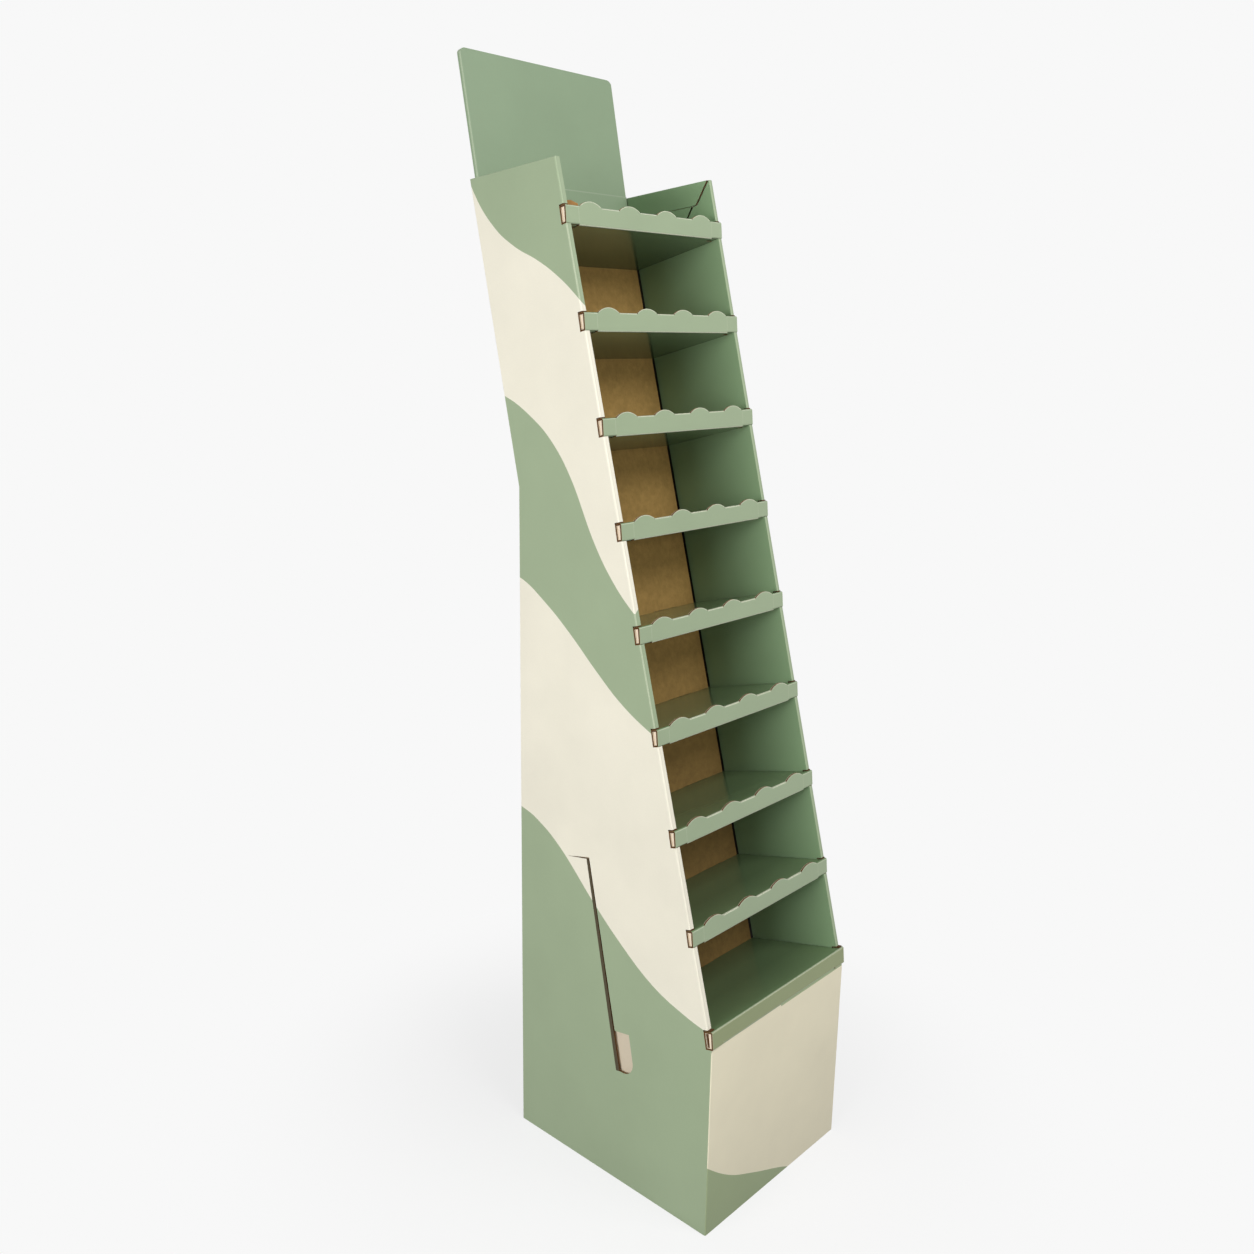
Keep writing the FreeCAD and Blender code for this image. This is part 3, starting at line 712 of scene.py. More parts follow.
def join_scallops(bm):
    """Carries a lip's front face on up into its scallops, across the top fold.

    The fold's narrow strips are cut at each scallop's feet, and what lies between
    is brought forward into the plane of the lip.
    """
    lip = broadest(bm, FRONT)
    ahead, on_lip = lip.normal.copy(), lip.calc_center_median()
    fold_low = max(vert.co.z for vert in lip.verts) - NEAR
    tabs = [face for face in bm.faces if face is not lip and face.normal.dot(ahead) > IN_PLANE
            and abs((face.calc_center_median() - on_lip).dot(ahead)) < NEAR / 2
            and face.calc_area() > SCALLOP_AREA]
    spans = []
    for tab in tabs:
        foot = min(vert.co.z for vert in tab.verts)
        xs = [vert.co.x for vert in tab.verts if vert.co.z < foot + NEAR]
        spans.append((min(xs), max(xs), foot))
    for low, high, foot in spans:
        for x in (low, low + CUT_WIDTH, high - CUT_WIDTH, high):
            strips = [face for face in bm.faces if abs(face.normal.x) < 0.01
                      and fold_low < face.calc_center_median().z < foot + NEAR / 2
                      and (face.calc_center_median() - on_lip).dot(ahead) > -FACE_NEAR]
            parts = set(strips)
            for face in strips:
                parts.update(face.verts)
                parts.update(face.edges)
            bmesh.ops.bisect_plane(bm, geom=list(parts), plane_co=(x, 0, 0),
                                   plane_no=RIGHT, dist=CUT_NEAR)
        for vert in bm.verts:
            depth = (vert.co - on_lip).dot(ahead)
            if (low + CUT_WIDTH / 2 < vert.co.x < high - CUT_WIDTH / 2
                    and fold_low < vert.co.z < foot + NEAR / 2 and depth > -FACE_NEAR):
                vert.co -= ahead * depth
    bm.normal_update()
    join_flat_faces(bm)


def sample_points(bm):
    """For each face, a few points on it with the area that each stands for."""
    shares = ((1 / 3, 1 / 3), (0.6, 0.2), (0.2, 0.6), (0.2, 0.2), (0.1, 0.45))
    found = {}
    for loops in bm.calc_loop_triangles():
        a, b, c = (loop.vert.co for loop in loops)
        area = (b - a).cross(c - a).length / 2
        points = found.setdefault(loops[0].face.index, [])
        for u, v in shares:
            points.append((a * (1 - u - v) + b * u + c * v, area / len(shares)))
    return found


def sort_faces(bm, thickness):
    """Finds each face's kind, OUTER, INNER or CUT, and the groups it was judged in.

    Board that is thin behind a face makes it a liner, which faces out where most rays
    from it meet nothing.
    """
    tree = BVHTree.FromBMesh(bm)
    points = sample_points(bm)
    groups = smooth_groups(bm)
    kinds = {}
    for group in groups:
        thin = open_out = total = 0.0
        for face in group:
            for point, area in points.get(face.index, ()):
                total += area
                inward = tree.ray_cast(point - face.normal * OFF_FACE, -face.normal)[3]
                if inward is not None and inward < thickness * THIN_BOARD:
                    thin += area
                outward = tree.ray_cast(point + face.normal * OFF_FACE, face.normal)[3]
                if outward is None:
                    open_out += area
        if thin < total / 2:
            kind = CUT
        else:
            kind = OUTER if open_out > total / 2 else INNER
        for face in group:
            kinds[face.index] = kind
    return groups, kinds


def place_key(place):
    """A vertex's place, rounded so that copies of it are found again."""
    return tuple(round(value * 1e6) for value in place)


def edge_shifts(faces, liner, depth):
    """For each vertex round a cut edge, the move that keeps to liner and depth."""
    cut = set(faces)
    rules = {}
    for face in faces:
        for vert in face.verts:
            rules.setdefault(place_key(vert.co), []).append((face.normal.copy(), -depth))
        for edge in face.edges:
            for other in edge.link_faces:
                if other not in cut:
                    for vert in edge.verts:
                        rules[place_key(vert.co)].append((other.normal.copy(), -liner))
    shifts = {}
    for key, found in rules.items():
        sides = np.array([tuple(normal) for normal, _ in found])
        wanted = np.array([amount for _, amount in found])
        shift = Vector(np.linalg.pinv(sides, rcond=CORNER_SHARE) @ wanted)
        longest = CORNER_MOVE * max(liner, depth)
        if shift.length > longest:
            shift *= longest / shift.length
        shifts[key] = shift
    return shifts


def hollow_edges(bm, faces, liner, depth):
    """Sinks the middle of each cut edge between its two liners; returns the sunk faces."""
    # First the liners' own edges are set off, and then what lies between them sinks.
    for side, down in ((liner, 0.0), (liner * 0.1, depth)):
        shifts = edge_shifts(faces, side, down)
        bmesh.ops.inset_region(bm, faces=faces, thickness=0.0, depth=0.0, use_boundary=True,
                               use_even_offset=False)
        for vert in {vert for face in faces for vert in face.verts}:
            vert.co += shifts[place_key(vert.co)]
        bm.normal_update()
    return faces


def mark_folds(bm, kinds):
    """Writes how far each face lies up a fold: 0 on flat board, 1 along the fold's crown."""
    fold = bm.faces.layers.float.new("fold")

    def bends(face):
        return [other for edge in face.edges for other in edge.link_faces if other is not face
                and FLAT_STEP < edge.calc_face_angle(0.0) < FOLD_STEP]

    strips = {face for face in bm.faces if kinds[face.index] != CUT and bends(face)
              and face.calc_area() < FOLD_STRIP * max(edge.calc_length()
                                                      for edge in face.edges)}
    levels = {face: 0 for face in strips if any(other not in strips for other in bends(face))}
    ring = list(levels)
    while ring:
        face = ring.pop(0)
        for other in bends(face):
            if other in strips and other not in levels:
                levels[other] = levels[face] + 1
                ring.append(other)
    for face in bm.faces:
        face[fold] = min(1.0, levels.get(face, 0) / CROWN_STRIPS)
    return fold


def pale_lip_edges(bm, fold):
    """Pales a lip's front along its cut edges, as worn ink and painted highlight, and its
    creases.
    """
    lip = broadest(bm, FRONT)
    made = bmesh.ops.inset_region(bm, faces=[lip], thickness=PALE_EDGE_WIDTH, depth=0.0,
                                  use_boundary=True, use_even_offset=True)
    border = set(made["faces"])
    ahead = lip.normal.copy()
    for side in (-1, 1):
        for x in (LIP_CREASE + CREASE_HALF, LIP_CREASE - CREASE_HALF):
            parts = {lip}
            parts.update(lip.edges)
            parts.update(lip.verts)
            bmesh.ops.bisect_plane(bm, geom=list(parts), plane_co=(side * x, 0, 0),
                                   plane_no=(side, 0, 0), dist=CUT_NEAR)
            lip = broadest(bm, FRONT)
    middle = lip.calc_center_median().z
    for face in bm.faces:
        place = face.calc_center_median()
        if face in border:
            cut = any(other.material_index == CUT for edge in face.edges
                      for other in edge.link_faces)
            # Only the upper edges are paled: partly worn ink, partly painted highlight where
            # light catches them.
            raised = place.z > middle - PALE_EDGE_BELOW
            face[fold] = 1.0 if cut and raised else 0.0
            face.material_index = OUTER
        elif (face.normal.dot(ahead) > IN_PLANE
                and abs(abs(place.x) - LIP_CREASE) < CREASE_HALF / 2):
            face[fold] = CREASE_WEAR


def bleach_rims(bm):
    """Gives the cut edge of the inner liner that liner's own pale paper."""
    pale = [face for face in bm.faces if face.material_index == CUT
            and any(other.material_index == INNER for edge in face.edges
                    for other in edge.link_faces)]
    for face in pale:
        face.material_index = INNER


def open_mitres(bm):
    """Draws the rear edge of each mitred gap back, as far as the flap has sprung."""
    ahead = panel_face()[0]
    slope = (ahead.cross(RIGHT) - ahead).normalized()
    top = max(bm.verts, key=lambda vert: vert.co.z).co
    moves = []
    for vert in bm.verts:
        inner = -NEAR < abs(vert.co.x) - MOUTH_HALF < MITRE_SKIN
        behind = slope.dot(vert.co - top)
        if not inner or all(abs(behind - place) > NEAR for place in MITRE_REARS):
            continue
        ways = [(edge.other_vert(vert).co - vert.co).normalized() for edge in vert.link_edges]
        way = max(ways, key=slope.dot)
        if slope.dot(way) > 0.5:
            moves.append((vert, way * (MITRE_PLAY / slope.dot(way))))
    for vert, move in moves:
        vert.co += move


def narrow_panel(bm):
    """Draws the back panel's two side edges in by the play it has between the walls."""
    reach = max(vert.co.x for vert in bm.verts)
    for vert in bm.verts:
        if abs(vert.co.x) > reach - NEAR:
            vert.co.x -= math.copysign(PANEL_PLAY, vert.co.x)


def print_mouth(bm, groups, kinds):
    """Marks the case's printed liners: its outside, and the lining that faces the bays."""
    broad = max(groups, key=lambda group: sum(face.calc_area() for face in group))
    outside = {face.index for face in broad}
    for face in bm.faces:
        if kinds[face.index] == CUT:
            continue
        x = face.calc_center_median().x
        lining = (abs(face.normal.x) > FACING and face.normal.x * x < 0
                  and abs(abs(x) - MOUTH_HALF) < FACE_NEAR)
        kinds[face.index] = OUTER if face.index in outside or lining else INNER


def new_piece(name, mesh):
    """A piece that rides the body."""
    piece = put(name, mesh)
    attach(piece, "root")
    return piece


def dress(node, name, face_out, face_in, slot):
    """Makes the visible piece for a CAD node: liners, kraft rims and hollow cut edges."""
    board = bpy.context.scene.display_board
    bm = merged_copy(node)
    if slot == "shelf_board":
        join_scallops(bm)
    elif slot == "kraft_board":
        narrow_panel(bm)
    elif slot == "case_board":
        open_mitres(bm)
    groups, kinds = sort_faces(bm, board.thickness)
    if slot == "case_board":
        print_mouth(bm, groups, kinds)
    for face in bm.faces:
        face.material_index = kinds[face.index]
    fold = mark_folds(bm, kinds)
    sunk = hollow_edges(bm, [face for face in bm.faces if kinds[face.index] == CUT],
                        board.liner, board.edge_depth)
    if slot == "shelf_board":
        pale_lip_edges(bm, fold)
        bleach_rims(bm)
    for face in sunk:
        face.material_index = HOLLOW
    for face in bm.faces:
        face.smooth = True
    for edge in bm.edges:
        edge.smooth = len(edge.link_faces) == 2 and edge.calc_face_angle(0.0) < FOLD_STEP
    mesh = bpy.data.meshes.new(name)
    bm.to_mesh(mesh)
    bm.free()
    for paper in (face_out, face_in, "rim", "hollow"):
        mesh.materials.append(finish(paper))
    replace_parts(new_piece(name, mesh), node)


def add_slab(bm, outline, thickness):
    """Adds a closed slab of paper: an outline and the same outline moved by thickness."""
    near = [bm.verts.new(point) for point in outline]
    far = [bm.verts.new(point + thickness) for point in outline]
    bm.faces.new(near)
    bm.faces.new(reversed(far))
    for index in range(len(outline)):
        following = (index + 1) % len(outline)
        bm.faces.new((near[following], near[index], far[index], far[following]))


def place_slabs(bm, name, paper):
    """Turns slabs of one paper into a finished piece of the shelves."""
    bmesh.ops.recalc_face_normals(bm, faces=bm.faces[:])
    mesh = bpy.data.meshes.new(name)
    bm.to_mesh(mesh)
    bm.free()
    mesh.materials.append(finish(paper))
    new_piece(name, mesh)


def ear_mouth(bm, side):
    """The corners of a lip's hollow end: front low, front high, rear high, rear low."""
    rims = []
    for edge in bm.edges:
        ends = [face for face in edge.link_faces if face.normal.x * side > FACING]
        walls = [face for face in edge.link_faces if abs(face.normal.x) < 0.1]
        if ends and walls and edge.verts[0].co.x * side > HALF_WIDTH - CUT_NEAR:
            rims.append((edge, walls[0]))
    middle = sum((edge.verts[0].co + edge.verts[1].co for edge, _ in rims), Vector())
    middle /= 2 * len(rims)
    corners = {vert for edge, wall in rims for vert in edge.verts
               if wall.normal.dot((edge.verts[0].co + edge.verts[1].co) / 2 - middle) < 0}
    by_height = sorted((vert.co.copy() for vert in corners), key=lambda place: place.z)
    low, high = by_height[:2], by_height[-2:]
    low.sort(key=lambda place: place.y)
    high.sort(key=lambda place: place.y)
    return [low[0], high[0], high[1], low[1]]


def ear_ends(nodes):
    """Each hollow end of some lips: its node, its side, -1 or 1, and its corners."""
    for node in nodes:
        bm = merged_copy(node)
        for side in (-1, 1):
            yield node, side, ear_mouth(bm, side)
        bm.free()


def make_tucked_flaps():
    """The raw paper flaps tucked into the hollow ends of the lips.

    Each lies nearer the opening at the front than at the rear. The base lip's is
    narrow, and leaves the rear of its end open.
    """
    flaps = bmesh.new()
    for node, side, outline in ear_ends(SHELVES):
        if node == "base_shelf":
            front_low, front_high, rear_high, rear_low = outline
            outline = [front_low, front_high, front_high.lerp(rear_high, 0.5),
                       front_low.lerp(rear_low, 0.5)]
        sunk = []
        for index, depth in enumerate(FLAP_DEPTHS):
            corner = outline[index].copy()
            for other in (outline[index - 1], outline[(index + 1) % 4]):
                corner += (outline[index] - other).normalized() * FLAP_LAP
            corner.x -= side * depth
            sunk.append(corner)
        add_slab(flaps, sunk, RIGHT * (-side * FLAP_PAPER))
    place_slabs(flaps, "tucked_flaps", "flap")


def make_ear_shade():
    """A dark sheet deep in the base lip's ends, behind their narrow flaps: painted shade."""
    shade = bmesh.new()
    for _, side, mouth in ear_ends(["base_shelf"]):
        outline = [corner - RIGHT * (side * SHADE_DEPTH) for corner in mouth]
        add_slab(shade, outline, RIGHT * (-side * SHADE_BOARD))
    place_slabs(shade, "base_ear_shade", "hollow")


def make_notch_shades():
    """A dark sheet in each notch above its ear: painted shade that keeps daylight out."""
    shade_sheets = bmesh.new()
    for _, side, (_, front, rear, _) in ear_ends(SHELVES):
        up = RIGHT.cross(rear - front).normalized()
        low, high = (up * height - RIGHT * (side * NOTCH_INSET) for height in NOTCH_SHADE)
        outline = [front + low, front + high, rear + high, rear + low]
        add_slab(shade_sheets, outline, RIGHT * (-side * NOTCH_REACH))
    place_slabs(shade_sheets, "notch_shades", "hollow")


def make_corner_tabs():
    """The sage tabs that close the underside of each lip behind its ears."""
    tabs = bmesh.new()
    for node in TRAYS:
        bm = merged_copy(node)
        up = broadest(bm, UP).normal.copy()
        back = up.cross(RIGHT)
        ring = [vert.co for vert in bm.verts if vert.co.x > HALF_WIDTH - CUT_NEAR]
        heel = max(ring, key=lambda place: place.dot(back)).copy()
        low = min(vert.co.dot(up) for vert in bm.verts)
        heel += up * (low + TAB_RISE - heel.dot(up)) - back * TAB_LAP
        for side in (-1, 1):
            near = [Vector((side * x, heel.y, heel.z)) for x in (TAB_INNER, TAB_OUTER)]
            outline = near + [place + back * TAB_REACH for place in reversed(near)]
            add_slab(tabs, outline, up * FLAP_PAPER)
        bm.free()
    place_slabs(tabs, "lip_corner_tabs", "tray")


def make_gusset():
    """The kraft web in the corner between the top lip's left end and the side wall."""
    bm = merged_copy(TRAYS[-1])
    lip = broadest(bm, FRONT)
    ahead = lip.normal.copy()
    crown = max((vert.co for vert in lip.verts), key=lambda place: place.z).copy()
    bm.free()
    up = ahead.cross(RIGHT)
    behind = crown - ahead * GUSSET_BEHIND
    foot = Vector((-SCALLOP_FOOT, behind.y, behind.z))
    wall = Vector((-MOUTH_HALF + SIDE_SKIN, behind.y, behind.z)) - ahead * GUSSET_REACH
    web = bmesh.new()
    outline = [wall, foot]
    outline += [wall.lerp(foot, share) + up * height for share, height in GUSSET_TOP]
    add_slab(web, outline, -ahead * GUSSET_BOARD)
    place_slabs(web, "lip_gusset", "gusset")


def flute_runs(node, flutes, board):
    """The runs of a sheet's cut edges that cross its flutes.

    Each is its two ends on the hollow's floor, midway between the liners, then the way
    across the board and the way out of the cut.
    """
    bm = merged_copy(node)
    kinds = sort_faces(bm, board.thickness)[1]
    runs = []
    for edge in bm.edges:
        cuts = [face.normal for face in edge.link_faces if kinds[face.index] == CUT]
        liners = [face.normal for face in edge.link_faces if kinds[face.index] == OUTER]
        if not cuts or not liners or abs(cuts[0].dot(flutes)) < 0.7:
            continue
        if edge.calc_length() < board.flute_pitch + board.thickness:
            continue
        ahead = cuts[0].copy()
        aside = (liners[0] - ahead * liners[0].dot(ahead)).normalized()
        # A fold crushes the flutes, so a run stops short of both its ends.
        start, end = (vert.co - aside * board.thickness / 2 - ahead * board.edge_depth
                      for vert in edge.verts)
        along = (end - start).normalized() * board.thickness / 2
        start, end = start + along, end - along
        if all(((start + end - known[0] - known[1]) / 2).length > board.thickness
               for known in runs):
            runs.append((start, end, aside, ahead))
    bm.free()
    return runs


def fluting_tree(sizes):
    """Geometry Nodes that lay a waved web of paper along each run.

    Returns the tree, and the identifier of each of its inputs by name.
    """
    tree = bpy.data.node_groups.new("edge_fluting", "GeometryNodeTree")
    sockets = tree.interface
    sockets.new_socket("Runs", in_out="INPUT", socket_type="NodeSocketGeometry")
    keys = {name: sockets.new_socket(name, in_out="INPUT",
                                     socket_type="NodeSocketFloat").identifier
            for name in sizes}
    sockets.new_socket("Webs", in_out="OUTPUT", socket_type="NodeSocketGeometry")
    given = add(tree, "NodeGroupInput").outputs
    curve = add(tree, "GeometryNodeMeshToCurve", {"Mesh": given["Runs"]})
    fine = add(tree, "GeometryNodeResampleCurve",
               {"Curve": curve, "Length": given["Step"]}, mode="LENGTH")
    # The wave: a sine of the distance along the run, as far across as the liners let it.
    travelled = add(tree, "GeometryNodeSplineParameter").outputs["Length"]
    waves = add(tree, "ShaderNodeMath", {0: travelled, 1: given["Pitch"]}, operation="DIVIDE")
    turn = add(tree, "ShaderNodeMath", {0: waves, 1: math.tau}, operation="MULTIPLY")
    swing = add(tree, "ShaderNodeMath", {0: turn}, operation="SINE")
    reach = add(tree, "ShaderNodeMath", {0: swing, 1: given["Reach"]}, operation="MULTIPLY")
    across = add(tree, "GeometryNodeInputNamedAttribute", {"Name": "across"},
                 data_type="FLOAT_VECTOR")
    sway = add(tree, "ShaderNodeVectorMath", {0: across, "Scale": reach}, operation="SCALE")
    waved = add(tree, "GeometryNodeSetPosition", {"Geometry": fine, "Offset": sway})
    line = add(tree, "GeometryNodeCurveToMesh", {"Curve": waved})
    # The web stands on the hollow's floor, and then gets the paper's thickness.
    outward = add(tree, "GeometryNodeInputNamedAttribute", {"Name": "outward"},
                  data_type="FLOAT_VECTOR")
    web = add(tree, "GeometryNodeExtrudeMesh",
              {"Mesh": line, "Offset": outward, "Offset Scale": given["Height"]}, mode="EDGES")
    thick = add(tree, "GeometryNodeExtrudeMesh",
                {"Mesh": web, "Offset Scale": given["Paper"], "Individual": False},
                mode="FACES")
    back = add(tree, "GeometryNodeFlipFaces", {"Mesh": web})
    both = add(tree, "GeometryNodeJoinGeometry", {"Geometry": thick})
    tree.links.new(back.outputs[0], both.inputs[0])
    whole = add(tree, "GeometryNodeMergeByDistance",
                {"Geometry": both, "Distance": 0.001 * MM})
    real = add(tree, "GeometryNodeRealizeInstances", {"Geometry": whole})
    done = add(tree, "GeometryNodeSetMaterial", {"Geometry": real, "Material": finish("wave")})
    add(tree, "NodeGroupOutput", {"Webs": done})
    return tree, keys


def make_edge_fluting():
    """The waved paper that shows where a cut edge crosses the flutes."""
    board = bpy.context.scene.display_board
    runs = []
    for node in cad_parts:
        runs += flute_runs(node, RIGHT if node in SHELVES else UP, board)
    paths = bpy.data.meshes.new("flute_runs")
    paths.from_pydata([end for run in runs for end in run[:2]],
                      [(index, index + 1) for index in range(0, 2 * len(runs), 2)], [])
    for name, place in (("across", 2), ("outward", 3)):
        layer = paths.attributes.new(name, "FLOAT_VECTOR", "POINT")
        values = [part for run in runs for _ in range(2) for part in run[place]]
        layer.data.foreach_set("vector", values)
    carrier = put("flute_runs", paths)
    sizes = {"Pitch": board.flute_pitch, "Step": board.flute_pitch / 10,
             "Reach": board.thickness / 2 - board.liner - WEB_PAPER,
             "Height": board.edge_depth - WEB_SUNK, "Paper": WEB_PAPER}
    tree, keys = fluting_tree(sizes)
    modifier = carrier.modifiers.new("fluting", "NODES")
    modifier.node_group = tree
    for name, size in sizes.items():
        modifier[keys[name]] = size
    graph = bpy.context.evaluated_depsgraph_get()
    mesh = bpy.data.meshes.new_from_object(carrier.evaluated_get(graph))
    carrier.modifiers.remove(modifier)
    bpy.data.objects.remove(carrier)
    mesh.name = "edge_fluting"
    new_piece("edge_fluting", mesh)


# ---- studio -------------------------------------------------------------
# The floor's half width, in metres, and the grey that it throws back as light.
FLOOR_REACH = 14.0
FLOOR_BOUNCE = "6A6A6A"
# The share of the display's shadow that shows, and how far out it starts and ends to fade.
SHADOW_SHARE = 0.2
SHADOW_NEAR = 0.25
SHADOW_FAR = 0.8
# Where the camera stands and looks, in metres and radians: yaw turns from +Y to +X.
CAMERA_PLACE = (-1.40676, -1.21797, 1.34585)
CAMERA_YAW = 0.8312
CAMERA_PITCH = 0.2456
CAMERA_ROLL = 0.0156


def make_floor(studio):
    """A pale floor that fades into the backdrop away from the display.

    It is pale where it is seen or mirrored, and throws little light back up.
    """
    mesh = bpy.data.meshes.new("studio_floor")
    corners = [(x * FLOOR_REACH, y * FLOOR_REACH, 0)
               for x, y in ((-1, -1), (1, -1), (1, 1), (-1, 1))]
    mesh.from_pydata(corners, [], [(0, 1, 2, 3)])
    material, tree, shader = new_material("Pale_Studio_Floor", 0.9, 0.1)
    shader.inputs["Base Color"].default_value = srgb(studio.backdrop)
    glow = add(tree, "ShaderNodeEmission", {"Color": srgb(studio.backdrop), "Strength": 1.0})
    place = add(tree, "ShaderNodeTexCoord").outputs["Object"]
    away = add(tree, "ShaderNodeVectorMath", {0: place}, operation="LENGTH").outputs["Value"]
    fade = add(tree, "ShaderNodeMapRange", {0: away, 1: SHADOW_NEAR, 2: SHADOW_FAR,
                                            3: 1 - SHADOW_SHARE, 4: 1.0},
               interpolation_type="SMOOTHSTEP")
    shown = add(tree, "ShaderNodeMixShader", {0: fade, 1: shader, 2: glow})
    dim = add(tree, "ShaderNodeBsdfDiffuse", {"Color": srgb(FLOOR_BOUNCE)})
    bounced = add(tree, "ShaderNodeLightPath").outputs["Is Diffuse Ray"]
    mix = add(tree, "ShaderNodeMixShader", {0: bounced, 1: shown, 2: dim})
    output = next(node for node in tree.nodes if node.type == "OUTPUT_MATERIAL")
    tree.links.new(mix.outputs[0], output.inputs["Surface"])
    mesh.materials.append(material)
    put("studio_floor", mesh)


def make_surround(studio):
    """An even surround for light, seen directly or mirrored as the plain backdrop."""
    world = bpy.data.worlds.new("studio_surround")
    bpy.context.scene.world = world
    world.use_nodes = True
    tree = world.node_tree
    tree.nodes.clear()
    lit = add(tree, "ShaderNodeBackground", {"Color": srgb(WHITE), "Strength": studio.fill})
    shown = add(tree, "ShaderNodeBackground",
                {"Color": srgb(studio.backdrop), "Strength": 1.0})
    path = add(tree, "ShaderNodeLightPath").outputs
    mirrored = add(tree, "ShaderNodeMath", {0: path["Is Glossy Ray"],
                                            1: path["Is Transmission Ray"]},
                   operation="MAXIMUM")
    seen = add(tree, "ShaderNodeMath", {0: path["Is Camera Ray"], 1: mirrored},
               operation="MAXIMUM")
    mix = add(tree, "ShaderNodeMixShader", {0: seen, 1: lit, 2: shown})
    add(tree, "ShaderNodeOutputWorld", {"Surface": mix})


def make_lamps(studio):
    """Wide, low soft lamps, square to the left side and to the front, and one above.

    The high one leaves the backs of the bays in the shelves' shade.
    """
    lamps = (("left_lamp", studio.key, (2.4, 0.8), (-3.3, -0.1, 1.3), (0.0, 0.0, 0.8)),
             ("front_lamp", studio.front, (2.2, 0.8), (-0.2, -3.2, 1.75), (0.0, 0.0, 0.9)),
             ("high_lamp", studio.overhead, (2.2, 1.2), (0.0, -2.0, 2.8), (0.0, 0.0, 0.9)))
    for name, power, size, place, aim in lamps:
        light = bpy.data.lights.new(name, "AREA")
        light.energy = power
        light.shape = "RECTANGLE"
        light.size, light.size_y = size
        lamp = put(name, light)
        lamp.location = place
        lamp.rotation_euler = (Vector(aim) - Vector(place)).to_track_quat("-Z", "Y").to_euler()


def make_camera(studio):
    """The camera at the viewing angle that shows the left side and the open front."""
    data = bpy.data.cameras.new("view_camera")
    data.lens = studio.lens
    data.sensor_width = 36.0
    data.clip_end = 60.0
    camera = put("view_camera", data)
    ahead = Vector((math.sin(CAMERA_YAW) * math.cos(CAMERA_PITCH),
                    math.cos(CAMERA_YAW) * math.cos(CAMERA_PITCH), -math.sin(CAMERA_PITCH)))
    right = Vector((math.cos(CAMERA_YAW), -math.sin(CAMERA_YAW), 0.0))
    up = right.cross(ahead)
    turned_right = right * math.cos(CAMERA_ROLL) + up * math.sin(CAMERA_ROLL)
    turned_up = up * math.cos(CAMERA_ROLL) - right * math.sin(CAMERA_ROLL)
    turn = Matrix((turned_right, turned_up, -ahead)).transposed().to_4x4()
    camera.matrix_world = Matrix.Translation(CAMERA_PLACE) @ turn
    bpy.context.scene.camera = camera


# ---- operators ----------------------------------------------------------
class DISPLAY_OT_case(bpy.types.Operator):
    """Dress the wrapped case: two-colour print outside, sage lining, kraft cut edges"""
    bl_idname = "display.case"
    bl_label = "Case"

    def execute(self, context):
        dress("outer_case", "wrapped_case", "case", "raw", "case_board")
        return {"FINISHED"}


class DISPLAY_OT_back_panel(bpy.types.Operator):
    """Dress the kraft back panel"""
    bl_idname = "display.back_panel"
    bl_label = "Back panel"

    def execute(self, context):
        dress("back_panel", "kraft_back_panel", "kraft", "kraft", "kraft_board")
        return {"FINISHED"}


class DISPLAY_OT_trays(bpy.types.Operator):
    """Dress the eight box-section shelves and the base shelf"""
    bl_idname = "display.trays"
    bl_label = "Shelf trays"

    def execute(self, context):
        for node in TRAYS:
            dress(node, "tray_" + node.split("_")[1], "tray", "raw", "shelf_board")
        dress("base_shelf", "base_tray", "base", "raw", "shelf_board")
        make_tucked_flaps()
        make_ear_shade()
        make_notch_shades()
        make_corner_tabs()
        make_gusset()
        return {"FINISHED"}


class DISPLAY_OT_header(bpy.types.Operator):
    """Dress the two-ply header card"""
    bl_idname = "display.header"
    bl_label = "Header card"

    def execute(self, context):
        dress("header_card", "header_sleeve", "header", "raw", "header_board")
        return {"FINISHED"}


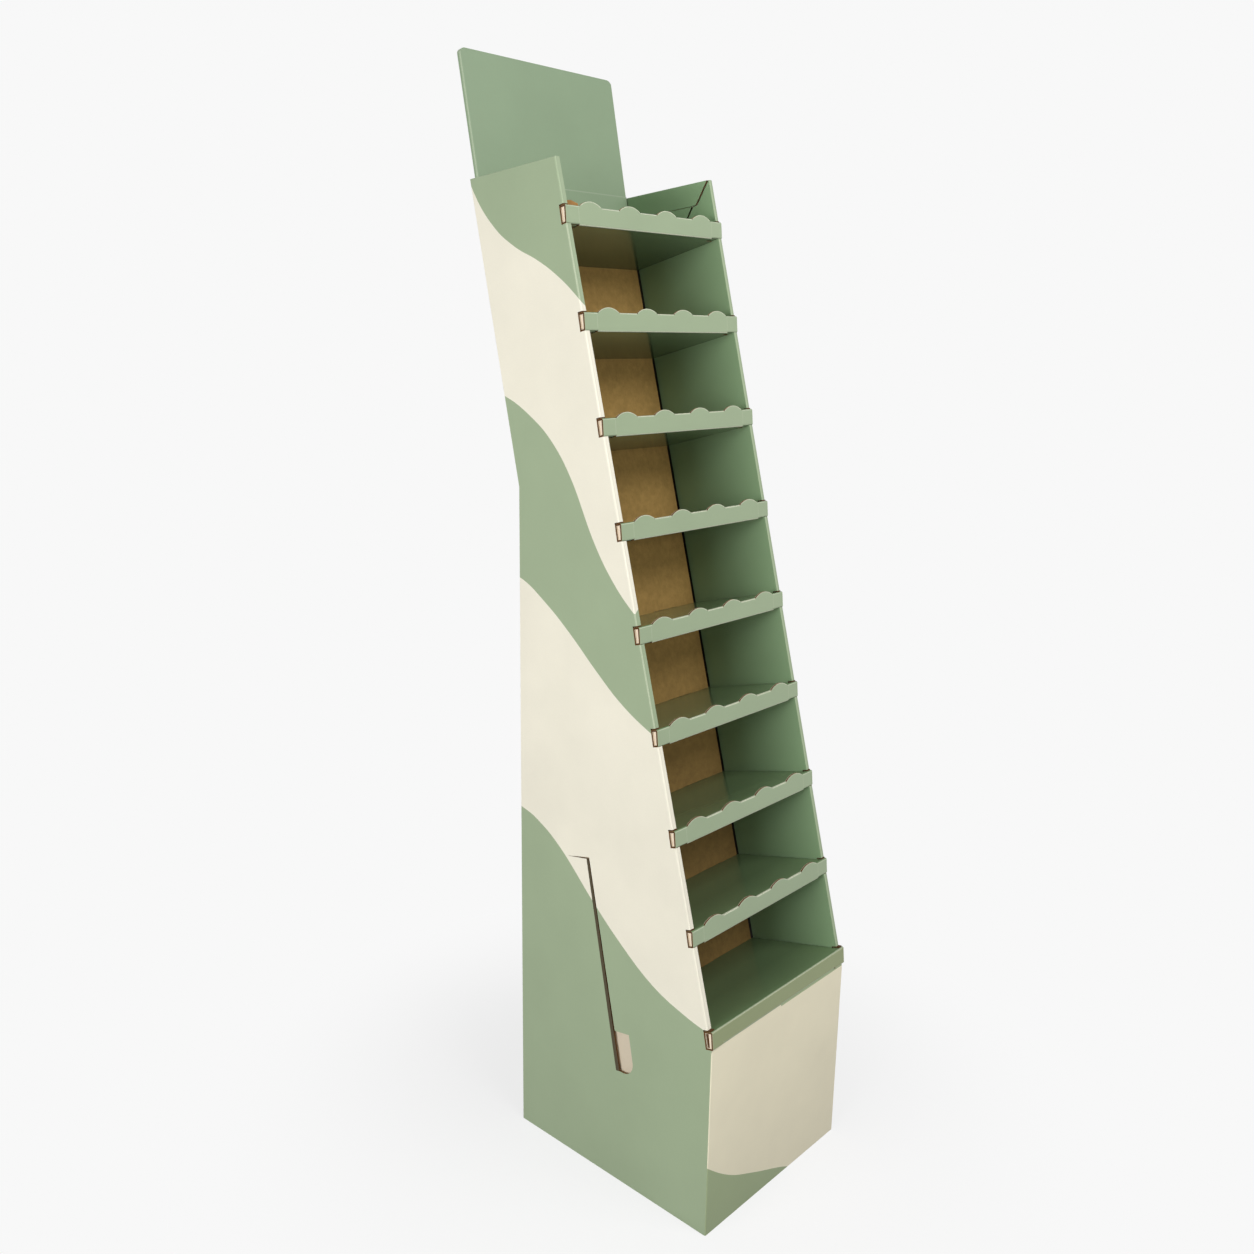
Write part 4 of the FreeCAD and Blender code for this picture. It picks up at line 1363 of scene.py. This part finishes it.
class DISPLAY_OT_fluting(bpy.types.Operator):
    """Lay the waved fluting paper along the cut edges"""
    bl_idname = "display.fluting"
    bl_label = "Edge fluting"

    def execute(self, context):
        make_edge_fluting()
        return {"FINISHED"}


class DISPLAY_OT_stage(bpy.types.Operator):
    """Set the floor, the soft light and the camera"""
    bl_idname = "display.stage"
    bl_label = "Studio stage"

    def execute(self, context):
        studio = context.scene.display_studio
        make_floor(studio)
        make_surround(studio)
        make_lamps(studio)
        make_camera(studio)
        context.scene.view_settings.view_transform = "Standard"
        return {"FINISHED"}


class DISPLAY_PT_sidebar(bpy.types.Panel):
    """The display's settings and operators"""
    bl_label = "Shelf display"
    bl_idname = "DISPLAY_PT_sidebar"
    bl_space_type = "VIEW_3D"
    bl_region_type = "UI"
    bl_category = "Display"

    def draw(self, context):
        layout = self.layout
        for settings in (context.scene.display_board, context.scene.display_print,
                         context.scene.display_studio):
            column = layout.column(align=True)
            for name in settings.bl_rna.properties.keys():
                if name not in {"rna_type", "name"}:
                    column.prop(settings, name)
        for operator in OPERATORS:
            layout.operator(operator.bl_idname)


OPERATORS = (DISPLAY_OT_stage, DISPLAY_OT_case, DISPLAY_OT_back_panel, DISPLAY_OT_trays,
             DISPLAY_OT_header, DISPLAY_OT_fluting)
CLASSES = (BoardSettings, PrintSettings, StudioSettings) + OPERATORS + (DISPLAY_PT_sidebar,)


def register():
    for cls in CLASSES:
        bpy.utils.register_class(cls)
    bpy.types.Scene.display_board = bpy.props.PointerProperty(type=BoardSettings)
    bpy.types.Scene.display_print = bpy.props.PointerProperty(type=PrintSettings)
    bpy.types.Scene.display_studio = bpy.props.PointerProperty(type=StudioSettings)


def unregister():
    del bpy.types.Scene.display_studio
    del bpy.types.Scene.display_print
    del bpy.types.Scene.display_board
    for cls in reversed(CLASSES):
        bpy.utils.unregister_class(cls)


def main():
    register()
    bpy.ops.display.stage()
    bpy.ops.display.case()
    bpy.ops.display.back_panel()
    bpy.ops.display.trays()
    bpy.ops.display.header()
    bpy.ops.display.fluting()


if __name__ == "__main__":
    main()
